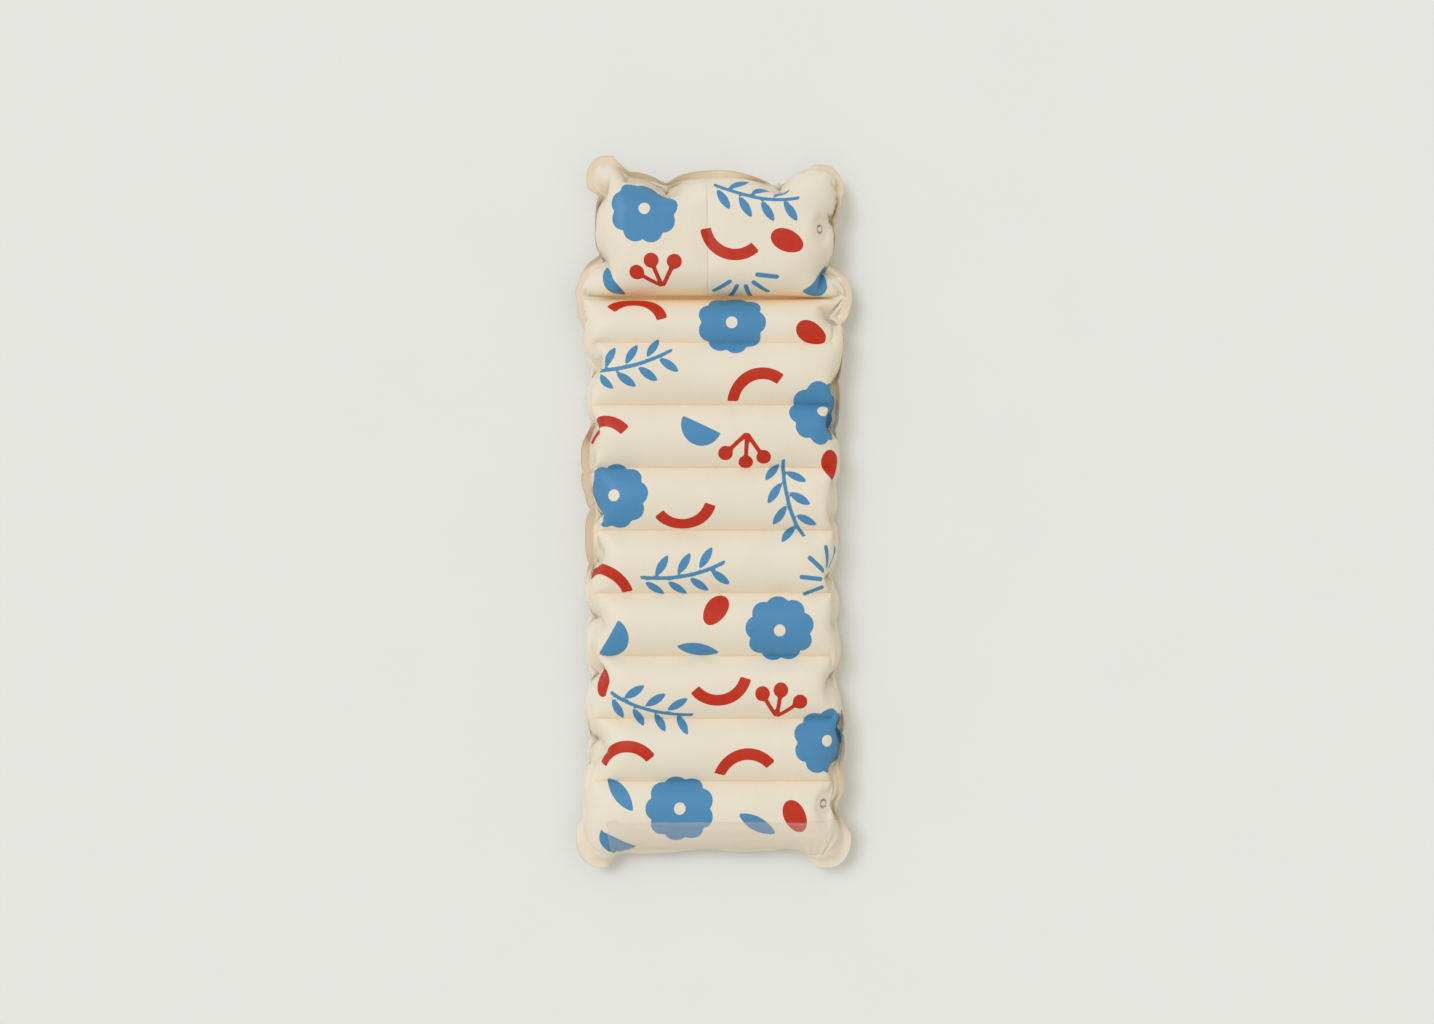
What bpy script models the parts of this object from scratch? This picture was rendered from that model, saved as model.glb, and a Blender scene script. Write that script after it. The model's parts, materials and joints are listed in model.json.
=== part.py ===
"""Pool air mattress with a fold-up pillow, built from its separate pieces.

Metres, +Z up. The mattress lies on z = 0 with its pillow end towards +Y.
Two PVC sheets are welded face to face round a flange. Inside, eight
cross webs hold the body to the shape of nine tubes, and one web that
runs lengthwise divides the pillow. A flat weld between body and pillow
is the fold. Body and pillow are filled through a push-in valve each.
"""

import math

import bmesh
import bpy
from mathutils import Matrix, Vector

# Clearance between two pieces that touch, and the sheets they are cut from
GAP = 0.0003
SHEET = 0.0005
WEB_SHEET = 0.0004
FILM_SHEET = 0.0003

# Lengths along the mattress, from the foot to the head
FLANGE = 0.027
FOOT_TUBE = 0.202
TUBE_PITCH = 0.158
FULL_TUBES = 7
FIRST_TUBE = 0.110
FOLD_BAND = 0.016
PILLOW_LENGTH = 0.327

# Half widths out to the flange's edge
EAR_HALF_WIDTH = 0.350
SIDE_HALF_WIDTH = 0.326
NECK_HALF_WIDTH = 0.319
PILLOW_HALF_WIDTH = 0.314
HEAD_EAR_HALF_WIDTH = 0.328
EAR_RADIUS = 0.060
EAR_LENGTH = 0.058

# How far the air draws the two ends in between their ears
FOOT_DRAWN_IN = 0.046
FOOT_EAR_FROM = 0.190
FOOT_EAR_TO = 0.250
HEAD_DRAWN_IN = 0.025
HEAD_NOTCH = 0.064
HEAD_NOTCH_AT = 0.135

# Height of the air above and below the weld, and of the webs
LOWER_DEPTH = 0.063
UPPER_DEPTH = 0.066
PILLOW_UPPER_DEPTH = 0.088
CROWN = 0.018
CREST_SHARE = 0.26
PILLOW_SEAM_X = -0.016
PILLOW_SEAM_DEPTH = 0.010
PILLOW_SEAM_REACH = 0.110

# Rounding of the air beside each weld
SIDE_ROUND = 0.080
FOOT_ROUND = 0.086
HEAD_ROUND = 0.084
BODY_FOLD_ROUND = 0.072
PILLOW_FOLD_ROUND = 0.100

# The flange buckles in a gentle wave
WAVE_HEIGHT = 0.006
WAVE_LENGTH = 0.260
WAVE_FREE = 0.060

# The fold, and the welded margin of a web
FOLD_UP = 60.0
WEB_MARGIN = 0.008

# Where the two valves sit
FOOT_VALVE_FROM_SEAM = 0.057
PILLOW_VALVE_FROM_FOLD = 0.165
VALVE_FLAT = 0.042

# One valve, measured along its axis from the sheet's outer face
HOLE_RADIUS = 0.0130
BASE_RADIUS = 0.0162
BASE_THICKNESS = 0.0009
BASE_BORE = 0.0122
CUP_WALL = 0.0006
STEM_RADIUS = 0.0056
STEM_BORE = 0.0042
STEM_LENGTH = 0.0177
LIP_RADIUS = 0.0072
LIP_THICKNESS = 0.0012
LIP_SUNK = 0.0023
FOOT_RING_RADIUS = 0.0077
FOOT_RING_THICKNESS = 0.0012

# How far a stem is pulled out. Its cup turns inside out, so the cup is as deep, less its bends
STEM_TRAVEL = 0.014
CUP_DEPTH = STEM_TRAVEL - 3 * CUP_WALL

# The plug and the check flap
PLUG_HEAD_RADIUS = 0.0070
PLUG_HEAD_THICKNESS = 0.0016
PLUG_TIP_RADIUS = 0.0029
PLUG_DEPTH = 0.0050
STRAP_REACH = 0.0096
STRAP_WIDTH = 0.0036
STRAP_THICKNESS = 0.0008
TAB_REACH = 0.0094
TAB_WIDTH = 0.0050
FLAP_RADIUS = 0.0052
FLAP_THICKNESS = 0.0006

# Facets
TURNS = 24
ROUND_STEPS = 3
TUBE_ROWS = (0.17, 0.37, 0.63, 0.83)
FOLD_ROWS = (0.25, 0.55, 1.0)

# Derived heights and places
WELD_OFFSET = GAP / 2 + SHEET
WELD_Z = LOWER_DEPTH + WELD_OFFSET
LENGTH = (
    2 * FLANGE + FOOT_TUBE + FULL_TUBES * TUBE_PITCH + FIRST_TUBE + FOLD_BAND + PILLOW_LENGTH
)
HEAD_Y = LENGTH / 2
FOOT_Y = -HEAD_Y
FOOT_WELD_Y = FOOT_Y + FLANGE
LAST_SEAM_Y = FOOT_WELD_Y + FOOT_TUBE
SEAMS = [LAST_SEAM_Y + n * TUBE_PITCH for n in range(FULL_TUBES + 1)]
BODY_WELD_Y = SEAMS[-1] + FIRST_TUBE
FOLD_Y = BODY_WELD_Y + FOLD_BAND / 2
PILLOW_WELD_Y = FOLD_Y + FOLD_BAND / 2
HEAD_WELD_Y = PILLOW_WELD_Y + PILLOW_LENGTH
FOOT_VALVE_Y = LAST_SEAM_Y - FOOT_VALVE_FROM_SEAM
PILLOW_VALVE_Y = FOLD_Y + PILLOW_VALVE_FROM_FOLD
SIDE_WELD_X = EAR_HALF_WIDTH - FLANGE
LEVEL_X = SIDE_WELD_X - SIDE_ROUND

CREAM = (0.79, 0.71, 0.58)
WHITE_FILM = (0.82, 0.80, 0.74)
CLEAR_PVC = (0.80, 0.74, 0.68)


def clear_scene():
    for thing in list(bpy.data.objects):
        bpy.data.objects.remove(thing, do_unlink=True)


def material(name, colour, roughness, alpha=1.0):
    made = bpy.data.materials.new(name)
    made.use_nodes = True
    shader = made.node_tree.nodes["Principled BSDF"]
    shader.inputs["Base Color"].default_value = (*colour, 1.0)
    shader.inputs["Roughness"].default_value = roughness
    shader.inputs["Metallic"].default_value = 0.0
    shader.inputs["Alpha"].default_value = alpha
    return made


def new_object(name, mesh_builder, finish):
    mesh = bpy.data.meshes.new(name)
    mesh_builder.to_mesh(mesh)
    mesh_builder.free()
    made = bpy.data.objects.new(name, mesh)
    bpy.context.scene.collection.objects.link(made)
    if finish:
        mesh.materials.append(finish)
    mesh.shade_smooth()
    mesh.set_sharp_from_angle(angle=math.radians(35))
    return made


def clamp(value, low=0.0, high=1.0):
    return max(low, min(high, value))


def eased(stations, at):
    """A smooth value through (place, value) pairs, level at each of them."""
    if at <= stations[0][0]:
        return stations[0][1]
    for (start, before), (end, after) in zip(stations, stations[1:]):
        if at <= end:
            share = (at - start) / (end - start)
            return before + (after - before) * (1 - math.cos(math.pi * share)) / 2
    return stations[-1][1]


def half_width(y):
    stations = [
        (FOOT_Y + EAR_LENGTH, EAR_HALF_WIDTH),
        (FOOT_VALVE_Y - VALVE_FLAT / 2, SIDE_HALF_WIDTH),
        (SEAMS[-2], SIDE_HALF_WIDTH),
        (SEAMS[-1], NECK_HALF_WIDTH),
        (FOLD_Y, EAR_HALF_WIDTH),
        (PILLOW_VALVE_Y - VALVE_FLAT / 2, PILLOW_HALF_WIDTH),
        (PILLOW_VALVE_Y + VALVE_FLAT / 2, PILLOW_HALF_WIDTH),
        (HEAD_Y - EAR_LENGTH, HEAD_EAR_HALF_WIDTH),
    ]
    return eased(stations, y)


def end_drawn_in(x, y):
    """How far an end's edge moves inwards, fading out along the last chamber."""
    if y < 0:
        edge = eased([(FOOT_EAR_FROM, FOOT_DRAWN_IN), (FOOT_EAR_TO, 0.0)], abs(x))
        reach = FOOT_ROUND + FLANGE
        return edge * clamp((FOOT_Y + reach - y) / FOOT_ROUND)
    stations = [(0.0, HEAD_DRAWN_IN), (HEAD_NOTCH_AT, HEAD_NOTCH), (FOOT_EAR_TO, 0.0)]
    reach = HEAD_ROUND + FLANGE
    return -eased(stations, abs(x)) * clamp((y - HEAD_Y + reach) / HEAD_ROUND)


def plan(x, y):
    """Where a point of the flat sheet lies once the air has drawn it in."""
    beyond_x = abs(x) - (EAR_HALF_WIDTH - EAR_RADIUS)
    beyond_y = abs(y) - (HEAD_Y - EAR_RADIUS)
    if beyond_x > 0 and beyond_y > 0:
        across = beyond_x / EAR_RADIUS
        along = beyond_y / EAR_RADIUS
        moved_x = beyond_x * math.sqrt(1 - along**2 / 2) - beyond_x
        moved_y = beyond_y * math.sqrt(1 - across**2 / 2) - beyond_y
        x += math.copysign(1, x) * moved_x
        y += math.copysign(1, y) * moved_y
    x *= half_width(y) / EAR_HALF_WIDTH
    return x, y + end_drawn_in(x, y)


def quarter_round(distance, reach):
    share = clamp(distance / reach)
    return math.sqrt(1 - (1 - share) ** 2)


def soft_round(distance, reach):
    share = clamp(distance / reach)
    return 1 - (1 - share) ** 2


def flange_wave(x, y):
    past_side = (abs(x) - SIDE_WELD_X) / FLANGE
    past_end = (abs(y) - (HEAD_Y - FLANGE)) / FLANGE
    share = clamp(max(past_side, past_end))
    free = clamp(abs(y - FOLD_Y) / WAVE_FREE)
    return WAVE_HEIGHT * share * free * math.sin(2 * math.pi * (x + y) / WAVE_LENGTH)


def seam_valley(y):
    """1 on a seam, 0 on the crest of a tube."""
    nearest = min(abs(y - seam) for seam in SEAMS)
    towards = 1 - nearest / (TUBE_PITCH / 2)
    return clamp((towards - CREST_SHARE) / (1 - CREST_SHARE)) ** 2


def body_height(x, y, depth):
    side = quarter_round(SIDE_WELD_X - abs(x), SIDE_ROUND)
    ends = quarter_round(y - FOOT_WELD_Y, FOOT_ROUND)
    ends *= soft_round(BODY_WELD_Y - y, BODY_FOLD_ROUND)
    level = 1.0 if abs(x) <= LEVEL_X + GAP else 0.0
    return side * ends * (depth - CROWN * seam_valley(y) * level)


def pillow_height(x, y, depth):
    side = quarter_round(SIDE_WELD_X - abs(x), SIDE_ROUND)
    ends = soft_round(y - PILLOW_WELD_Y, PILLOW_FOLD_ROUND)
    ends *= quarter_round(HEAD_WELD_Y - y, HEAD_ROUND)
    valley = clamp(1 - abs(x - PILLOW_SEAM_X) / PILLOW_SEAM_REACH) ** 2
    return side * ends * (depth - PILLOW_SEAM_DEPTH * valley)


def round_places(start, reach):
    """Grid lines through a quarter round that begins at start, at equal angles."""
    angles = [math.pi / 2 * n / ROUND_STEPS for n in range(ROUND_STEPS + 1)]
    return [start + reach * (1 - math.cos(angle)) for angle in angles]


def body_rows():
    rows = [FOOT_Y, *round_places(FOOT_WELD_Y, FOOT_ROUND)]
    rows += [FOOT_VALVE_Y - VALVE_FLAT / 2, FOOT_VALVE_Y + VALVE_FLAT / 2]
    rows += [LAST_SEAM_Y - TUBE_ROWS[0] * TUBE_PITCH / 2]
    for seam in SEAMS[:-1]:
        rows += [seam] + [seam + share * TUBE_PITCH for share in TUBE_ROWS]
    rows += [SEAMS[-1], SEAMS[-1] + TUBE_ROWS[0] * TUBE_PITCH]
    rows += [BODY_WELD_Y - share * BODY_FOLD_ROUND for share in reversed(FOLD_ROWS)]
    return rows + [BODY_WELD_Y, FOLD_Y - GAP / 2]


def pillow_rows():
    rows = [FOLD_Y + GAP / 2, PILLOW_WELD_Y]
    rows += [PILLOW_WELD_Y + share * PILLOW_FOLD_ROUND for share in FOLD_ROWS]
    rows += [PILLOW_VALVE_Y - VALVE_FLAT / 2, PILLOW_VALVE_Y + VALVE_FLAT / 2]
    rows += [-place for place in reversed(round_places(-HEAD_WELD_Y, HEAD_ROUND))]
    return rows + [HEAD_Y]


def columns(middle, centre):
    """Grid lines across, from the left flange to the right, alike on both sides."""
    side = [EAR_HALF_WIDTH, *[-place for place in round_places(-SIDE_WELD_X, SIDE_ROUND)]]
    half = side + list(middle)
    return [-place for place in half] + list(centre) + half[::-1]


def lay_out(rows, across, height, depth, up):
    """The outer face of one sheet as rows of points. up is 1 above the weld, -1 below."""
    grid = []
    for y in rows:
        line = []
        for x in across:
            lift = up * (WELD_OFFSET + height(x, y, depth)) + flange_wave(x, y)
            line.append(Vector((*plan(x, y), WELD_Z + lift)))
        grid.append(line)
    return grid


def grid_triangles(grid):
    """Every cell of a grid as two triangles that share the same diagonal."""
    wide = len(grid[0])
    for row in range(len(grid) - 1):
        for column in range(wide - 1):
            first = row * wide + column
            yield first, first + 1, first + wide + 1
            yield first, first + wide + 1, first + wide


def grid_normals(grid):
    points = [point for line in grid for point in line]
    normals = [Vector() for _ in points]
    for corners in grid_triangles(grid):
        first, second, third = (points[n] for n in corners)
        facing = (second - first).cross(third - first).normalized()
        for n in corners:
            normals[n] += facing
    wide = len(grid[0])
    unit = [normal.normalized() for normal in normals]
    return [unit[start : start + wide] for start in range(0, len(unit), wide)]


def offset_grid(grid, distance):
    """A copy of a grid, moved along the grid's own normals."""
    normals = grid_normals(grid)
    return [
        [point + normal * distance for point, normal in zip(line, facing)]
        for line, facing in zip(grid, normals)
    ]


def layered(name, above, below, finish):
    """A closed sheet between two grids: two faces and the cut edge round them."""
    built = bmesh.new()
    wide = len(above[0])
    top = [built.verts.new(point) for line in above for point in line]
    bottom = [built.verts.new(point) for line in below for point in line]
    for a, b, c in grid_triangles(above):
        built.faces.new((top[a], top[b], top[c]))
        built.faces.new((bottom[c], bottom[b], bottom[a]))
    last = (len(above) - 1) * wide
    edge = list(range(wide))
    edge += [row * wide + wide - 1 for row in range(1, len(above))]
    edge += [last + column for column in range(wide - 2, -1, -1)]
    edge += [row * wide for row in range(len(above) - 2, 0, -1)]
    for here, after in zip(edge, edge[1:] + edge[:1]):
        built.faces.new((top[after], top[here], bottom[here], bottom[after]))
    bmesh.ops.recalc_face_normals(built, faces=built.faces)
    return new_object(name, built, finish)


def relieve_fold(grid, row, towards_foot):
    """Bevel a sheet's edge at the fold, so that it clears the other one when folded."""
    back = SHEET * math.tan(math.radians(FOLD_UP / 2)) + GAP / 2
    for point in grid[row]:
        point.y += -back if towards_foot else back


class Chamber:
    """An upper and a lower sheet, welded round one body of air."""

    def __init__(self, name, rows, across, height, upper_depth, fold_row, finish):
        self.rows = rows
        self.across = across
        self.upper = lay_out(rows, across, height, upper_depth, 1)
        self.lower = lay_out(rows, across, height, LOWER_DEPTH, -1)
        self.upper_inside = offset_grid(self.upper, -SHEET)
        self.lower_inside = offset_grid(self.lower, SHEET)
        towards_foot = rows[fold_row] < FOLD_Y
        relieve_fold(self.upper, fold_row, towards_foot)
        relieve_fold(self.lower, fold_row, towards_foot)
        self.top_sheet = layered(f"{name}_top_sheet", self.upper, self.upper_inside, finish)
        self.bottom_sheet = layered(f"{name}_bottom_sheet", self.lower_inside, self.lower, finish)

    def row_at(self, y):
        return min(range(len(self.rows)), key=lambda n: abs(self.rows[n] - y))

    def column_at(self, x):
        return min(range(len(self.across)), key=lambda n: abs(self.across[n] - x))


def web(name, stations, finish):
    """A web between two seams, with both margins turned over against the sheets.

    Each station holds the upper seam, a point beside it, the lower seam and a point beside it.
    """
    seat = Vector((0, 0, GAP + WEB_SHEET))
    built = bmesh.new()
    strips = []
    for upper, upper_beside, lower, lower_beside in stations:
        margins = []
        for seam, beside, side in ((upper, upper_beside, -seat), (lower, lower_beside, seat)):
            along = beside - seam
            along *= WEB_MARGIN / along.length
            margins.append((seam + side, seam + along + side))
        (seam_up, margin_up), (seam_down, margin_down) = margins
        points = (margin_up, seam_up, seam_down, margin_down)
        strips.append([built.verts.new(point) for point in points])
    for here, after in zip(strips, strips[1:]):
        for n in range(len(here) - 1):
            built.faces.new((here[n], after[n], after[n + 1], here[n + 1]))
    made = new_object(name, built, finish)
    wall = made.modifiers.new("wall", "SOLIDIFY")
    wall.thickness = WEB_SHEET
    wall.offset = 0.0
    wall.use_even_offset = True
    return made


def body_web(chamber, number, seam_y, finish):
    row = chamber.row_at(seam_y)
    first = chamber.column_at(-LEVEL_X)
    last = chamber.column_at(LEVEL_X)
    upper, lower = chamber.upper_inside, chamber.lower_inside
    stations = [
        (upper[row][n], upper[row + 1][n], lower[row][n], lower[row + 1][n])
        for n in range(first, last + 1)
    ]
    return web(f"cross_web_{number}", stations, finish)


def pillow_web(chamber, finish):
    column = chamber.column_at(PILLOW_SEAM_X)
    first = chamber.row_at(PILLOW_WELD_Y + FOLD_ROWS[1] * PILLOW_FOLD_ROUND)
    last = chamber.row_at(HEAD_WELD_Y - HEAD_ROUND / 2)
    upper, lower = chamber.upper_inside, chamber.lower_inside
    stations = [
        (upper[n][column], upper[n][column + 1], lower[n][column], lower[n][column + 1])
        for n in range(first, last + 1)
    ]
    return web("pillow_web", stations, finish)


def foot_film(chamber, finish):
    """The blank clear film over the foot end, one clearance above the sheet.

    It stops one grid line above the weld, where the flange would meet it.
    """
    first = chamber.row_at(FOOT_WELD_Y) + 1
    last = chamber.row_at(FOOT_WELD_Y + FOOT_ROUND)
    edge = len(chamber.across) - 3
    patch = [line[2 : edge + 1] for line in chamber.upper[first : last + 1]]
    under = offset_grid(patch, GAP)
    over = offset_grid(patch, GAP + FILM_SHEET)
    return layered("foot_end_film", over, under, finish)


def turned(name, profile, finish, turns=TURNS):
    """A closed outline of (radius, height) points, turned about the Z axis."""
    built = bmesh.new()
    outline = [built.verts.new((radius, 0, height)) for radius, height in profile]
    sides = [
        built.edges.new((outline[n], outline[(n + 1) % len(outline)]))
        for n in range(len(outline))
        if profile[n][0] > 0 or profile[(n + 1) % len(outline)][0] > 0
    ]
    bmesh.ops.spin(
        built,
        geom=outline + sides,
        cent=(0, 0, 0),
        axis=(0, 0, 1),
        angle=2 * math.pi,
        steps=turns,
        use_duplicate=False,
    )
    bmesh.ops.remove_doubles(built, verts=built.verts, dist=1e-6)
    bmesh.ops.recalc_face_normals(built, faces=built.faces)
    return new_object(name, built, finish)


def block(name, low, high):
    """A box that is only used to shape another piece."""
    built = bmesh.new()
    bmesh.ops.create_cube(built, size=1)
    size = Vector(high) - Vector(low)
    centre = (Vector(high) + Vector(low)) / 2
    bmesh.ops.scale(built, vec=size, verts=built.verts)
    bmesh.ops.translate(built, vec=centre, verts=built.verts)
    return hide_shaper(new_object(name, built, None))


def hide_shaper(thing):
    thing.hide_render = True
    thing.display_type = "WIRE"
    return thing


def shape_with(piece, shaper, operation):
    change = piece.modifiers.new(shaper.name, "BOOLEAN")
    change.operation = operation
    change.solver = "EXACT"
    change.object = shaper


def hang_on(piece, parent, origin=(0, 0, 0)):
    """Parent a piece, with its own origin moved to a point of the parent's frame."""
    piece.data.transform(Matrix.Translation(-Vector(origin)))
    piece.parent = parent
    piece.location = origin


def empty(name, matrix, parent=None):
    made = bpy.data.objects.new(name, None)
    bpy.context.scene.collection.objects.link(made)
    made.parent = parent
    made.matrix_local = matrix
    return made


def valve_seat(chamber, valve_y):
    """The frame of a valve: Z out of the sheet, X down its slope, from its flat facet."""
    near = chamber.row_at(valve_y - VALVE_FLAT / 2)
    outer = len(chamber.across) - 3
    grid = chamber.upper
    low = (grid[near][outer] + grid[near + 1][outer]) / 2
    high = (grid[near][outer - 1] + grid[near + 1][outer - 1]) / 2
    along = (grid[near + 1][outer] - grid[near][outer]).normalized()
    down = (low - high).normalized()
    out = down.cross(along).normalized()
    across = out.cross(down)
    turn = Matrix((down, across, out)).transposed().to_4x4()
    return Matrix.Translation((low + high) / 2) @ turn


def valve_base(name, finish):
    top = -SHEET - GAP
    under = top - BASE_THICKNESS
    outline = [(BASE_BORE, top), (BASE_BORE, under), (BASE_RADIUS, under), (BASE_RADIUS, top)]
    return turned(f"{name}_base", outline, finish)


def valve_cup(name, finish):
    """The soft wall between base and stem, folded inwards as a cup."""
    rim = BASE_BORE - GAP
    rim_top = -SHEET - GAP
    rim_foot = rim_top - BASE_THICKNESS
    seat = FOOT_RING_RADIUS + GAP
    foot = rim_top - CUP_DEPTH
    outline = [
        (rim - CUP_WALL, rim_top),
        (rim - CUP_WALL, rim_foot),
        (seat, foot + FOOT_RING_THICKNESS),
        (seat, foot),
        (seat + CUP_WALL, foot),
        (rim, rim_foot - CUP_WALL),
        (rim, rim_top),
    ]
    return turned(f"{name}_cup", outline, finish)


def valve_stem(name, finish):
    top = -LIP_SUNK
    under_lip = top - LIP_THICKNESS
    bottom = top - STEM_LENGTH
    ring = -SHEET - GAP - CUP_DEPTH
    ring_top = ring + FOOT_RING_THICKNESS
    outline = [
        (STEM_BORE, top),
        (STEM_BORE, bottom),
        (STEM_RADIUS, bottom),
        (STEM_RADIUS, ring),
        (FOOT_RING_RADIUS, ring),
        (FOOT_RING_RADIUS, ring_top),
        (STEM_RADIUS, ring_top),
        (STEM_RADIUS, under_lip),
        (LIP_RADIUS, under_lip),
        (LIP_RADIUS, top),
    ]
    stem = turned(f"{name}_stem", outline, finish)
    strap_top = under_lip + STRAP_THICKNESS
    start = (STEM_BORE + LIP_RADIUS) / 2
    low = (start, -STRAP_WIDTH / 2, under_lip)
    high = (STRAP_REACH, STRAP_WIDTH / 2, strap_top)
    shape_with(stem, block(f"{name}_stem_strap", low, high), "UNION")
    return stem


def strap_pivot():
    """The plug turns on the strap's bend, beside the lip."""
    plug_under = -LIP_SUNK + GAP
    strap_top = -LIP_SUNK - LIP_THICKNESS + STRAP_THICKNESS
    return Vector((STRAP_REACH, 0, (plug_under + strap_top) / 2))


def valve_plug(name, finish):
    under = -LIP_SUNK + GAP
    top = under + PLUG_HEAD_THICKNESS
    tip = under - PLUG_DEPTH
    neck = STEM_BORE - GAP
    outline = [
        (0, top),
        (0, tip),
        (PLUG_TIP_RADIUS, tip),
        (neck, under),
        (PLUG_HEAD_RADIUS, under),
        (PLUG_HEAD_RADIUS, top - STRAP_THICKNESS / 2),
        (PLUG_HEAD_RADIUS - STRAP_THICKNESS / 2, top),
    ]
    plug = turned(f"{name}_plug", outline, finish)
    start = (STEM_BORE + PLUG_HEAD_RADIUS) / 2
    low = (start, -STRAP_WIDTH / 2, under)
    high = (STRAP_REACH, STRAP_WIDTH / 2, under + STRAP_THICKNESS)
    shape_with(plug, block(f"{name}_plug_strap", low, high), "UNION")
    low = (-TAB_REACH, -TAB_WIDTH / 2, under)
    high = (-start, TAB_WIDTH / 2, under + STRAP_THICKNESS)
    shape_with(plug, block(f"{name}_plug_tab", low, high), "UNION")
    return plug


def flap_pivot():
    return Vector((-STEM_RADIUS, 0, -LIP_SUNK - STEM_LENGTH - GAP))


def valve_flap(name, finish):
    """The check flap under the stem, joined to it along one side."""
    pivot = flap_pivot()
    top = pivot.z
    under = top - FLAP_THICKNESS
    outline = [(0, top), (0, under), (FLAP_RADIUS, under), (FLAP_RADIUS, top)]
    flap = turned(f"{name}_flap", outline, finish)
    low = (pivot.x, -STRAP_WIDTH / 2, under)
    high = (-FLAP_RADIUS / 2, STRAP_WIDTH / 2, top)
    shape_with(flap, block(f"{name}_flap_hinge", low, high), "UNION")
    return flap


def valve(name, chamber, valve_y, parent, finish):
    seat = empty(f"{name}_seat", valve_seat(chamber, valve_y))
    hole = turned(
        f"{name}_hole",
        [(0, BASE_RADIUS), (0, -BASE_RADIUS), (HOLE_RADIUS, -BASE_RADIUS), (HOLE_RADIUS, BASE_RADIUS)],
        None,
    )
    hang_on(hide_shaper(hole), seat)
    shape_with(chamber.top_sheet, hole, "DIFFERENCE")
    for piece in (valve_base(name, finish), valve_cup(name, finish)):
        hang_on(piece, seat)
    stem = valve_stem(name, finish)
    hang_on(stem, seat)
    plug = valve_plug(name, finish)
    flap = valve_flap(name, finish)
    for piece, pivot in ((plug, strap_pivot()), (flap, flap_pivot())):
        hang_on(piece, stem, pivot)
    for piece in (stem, plug, flap):
        for change in piece.modifiers:
            hang_on(change.object, stem)
    if parent:
        keep_place(seat, parent)
    return seat


def keep_place(piece, parent):
    """Parent a piece without moving it."""
    piece.parent = parent
    piece.matrix_parent_inverse = parent.matrix_world.inverted()


def build_body(cream, web_film, clear_film, clear_pvc):
    across = columns([FOOT_EAR_FROM], [])
    body = Chamber("mattress", body_rows(), across, body_height, UPPER_DEPTH, -1, cream)
    for number, seam_y in enumerate(reversed(SEAMS), start=1):
        body_web(body, number, seam_y, web_film)
    foot_film(body, clear_film)
    valve("foot_valve", body, FOOT_VALVE_Y, None, clear_pvc)


def build_pillow(cream, web_film, clear_pvc):
    middle = [FOOT_EAR_FROM, HEAD_NOTCH_AT, PILLOW_SEAM_REACH / 2]
    across = columns(middle, [PILLOW_SEAM_X])
    pillow = Chamber("pillow", pillow_rows(), across, pillow_height, PILLOW_UPPER_DEPTH, 0, cream)
    pivot = empty("pillow_fold", Matrix.Translation((0, FOLD_Y, WELD_Z)))
    bpy.context.view_layer.update()
    inner_web = pillow_web(pillow, web_film)
    for piece in (pillow.top_sheet, pillow.bottom_sheet, inner_web):
        keep_place(piece, pivot)
    valve("pillow_valve", pillow, PILLOW_VALVE_Y, pivot, clear_pvc)


def main():
    clear_scene()
    cream = material("cream_pvc", CREAM, 0.55)
    web_film = material("web_film", WHITE_FILM, 0.45)
    clear_film = material("clear_film", WHITE_FILM, 0.20, alpha=0.35)
    clear_pvc = material("clear_pvc", CLEAR_PVC, 0.25, alpha=0.55)
    build_body(cream, web_film, clear_film, clear_pvc)
    build_pillow(cream, web_film, clear_pvc)
    bpy.context.view_layer.update()


main()
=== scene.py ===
"""Looks of the pool air mattress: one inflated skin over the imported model's webs and valves."""

import json
import math
from functools import partialmethod

import bmesh
import bpy
import numpy as np
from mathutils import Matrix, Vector


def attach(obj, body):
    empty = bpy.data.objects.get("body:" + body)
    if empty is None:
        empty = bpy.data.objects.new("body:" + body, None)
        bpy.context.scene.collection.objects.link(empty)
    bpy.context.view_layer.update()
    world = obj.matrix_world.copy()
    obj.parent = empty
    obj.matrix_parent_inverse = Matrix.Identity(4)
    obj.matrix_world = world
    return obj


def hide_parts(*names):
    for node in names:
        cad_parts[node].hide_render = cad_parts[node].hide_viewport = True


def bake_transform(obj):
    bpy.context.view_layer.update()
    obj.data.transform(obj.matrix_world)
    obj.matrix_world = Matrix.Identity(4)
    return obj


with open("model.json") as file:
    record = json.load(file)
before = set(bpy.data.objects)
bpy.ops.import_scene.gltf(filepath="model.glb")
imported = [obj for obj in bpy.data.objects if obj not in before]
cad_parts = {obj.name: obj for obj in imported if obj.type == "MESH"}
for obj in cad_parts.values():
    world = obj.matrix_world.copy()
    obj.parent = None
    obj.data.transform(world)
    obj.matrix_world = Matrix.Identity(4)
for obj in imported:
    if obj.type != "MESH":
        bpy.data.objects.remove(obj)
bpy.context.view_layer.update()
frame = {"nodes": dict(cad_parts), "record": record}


def thousandths(*rows):
    """A table that is written in thousandths: millimetres, or parts of a whole."""
    return np.array(rows) / 1000


# Heights in metres, and how they fall off
MID = 0.06365
SEAM_RISE = 0.0487
SEAM_DROP = 0.0452
CROWN = 0.018
CROWN_POWER = 0.8
PILLOW_DEPTH = 0.088
PILLOW_VALLEY = 0.005
PILLOW_VALLEY_REACH = 0.045
BODY_CEILING = 0.0840
PILLOW_CEILING = 0.0900
PILLOW_FALL_ALONG = 0.10
PILLOW_FALL_ACROSS = 0.06
FLOOR_CLEAR = 0.0005

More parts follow.
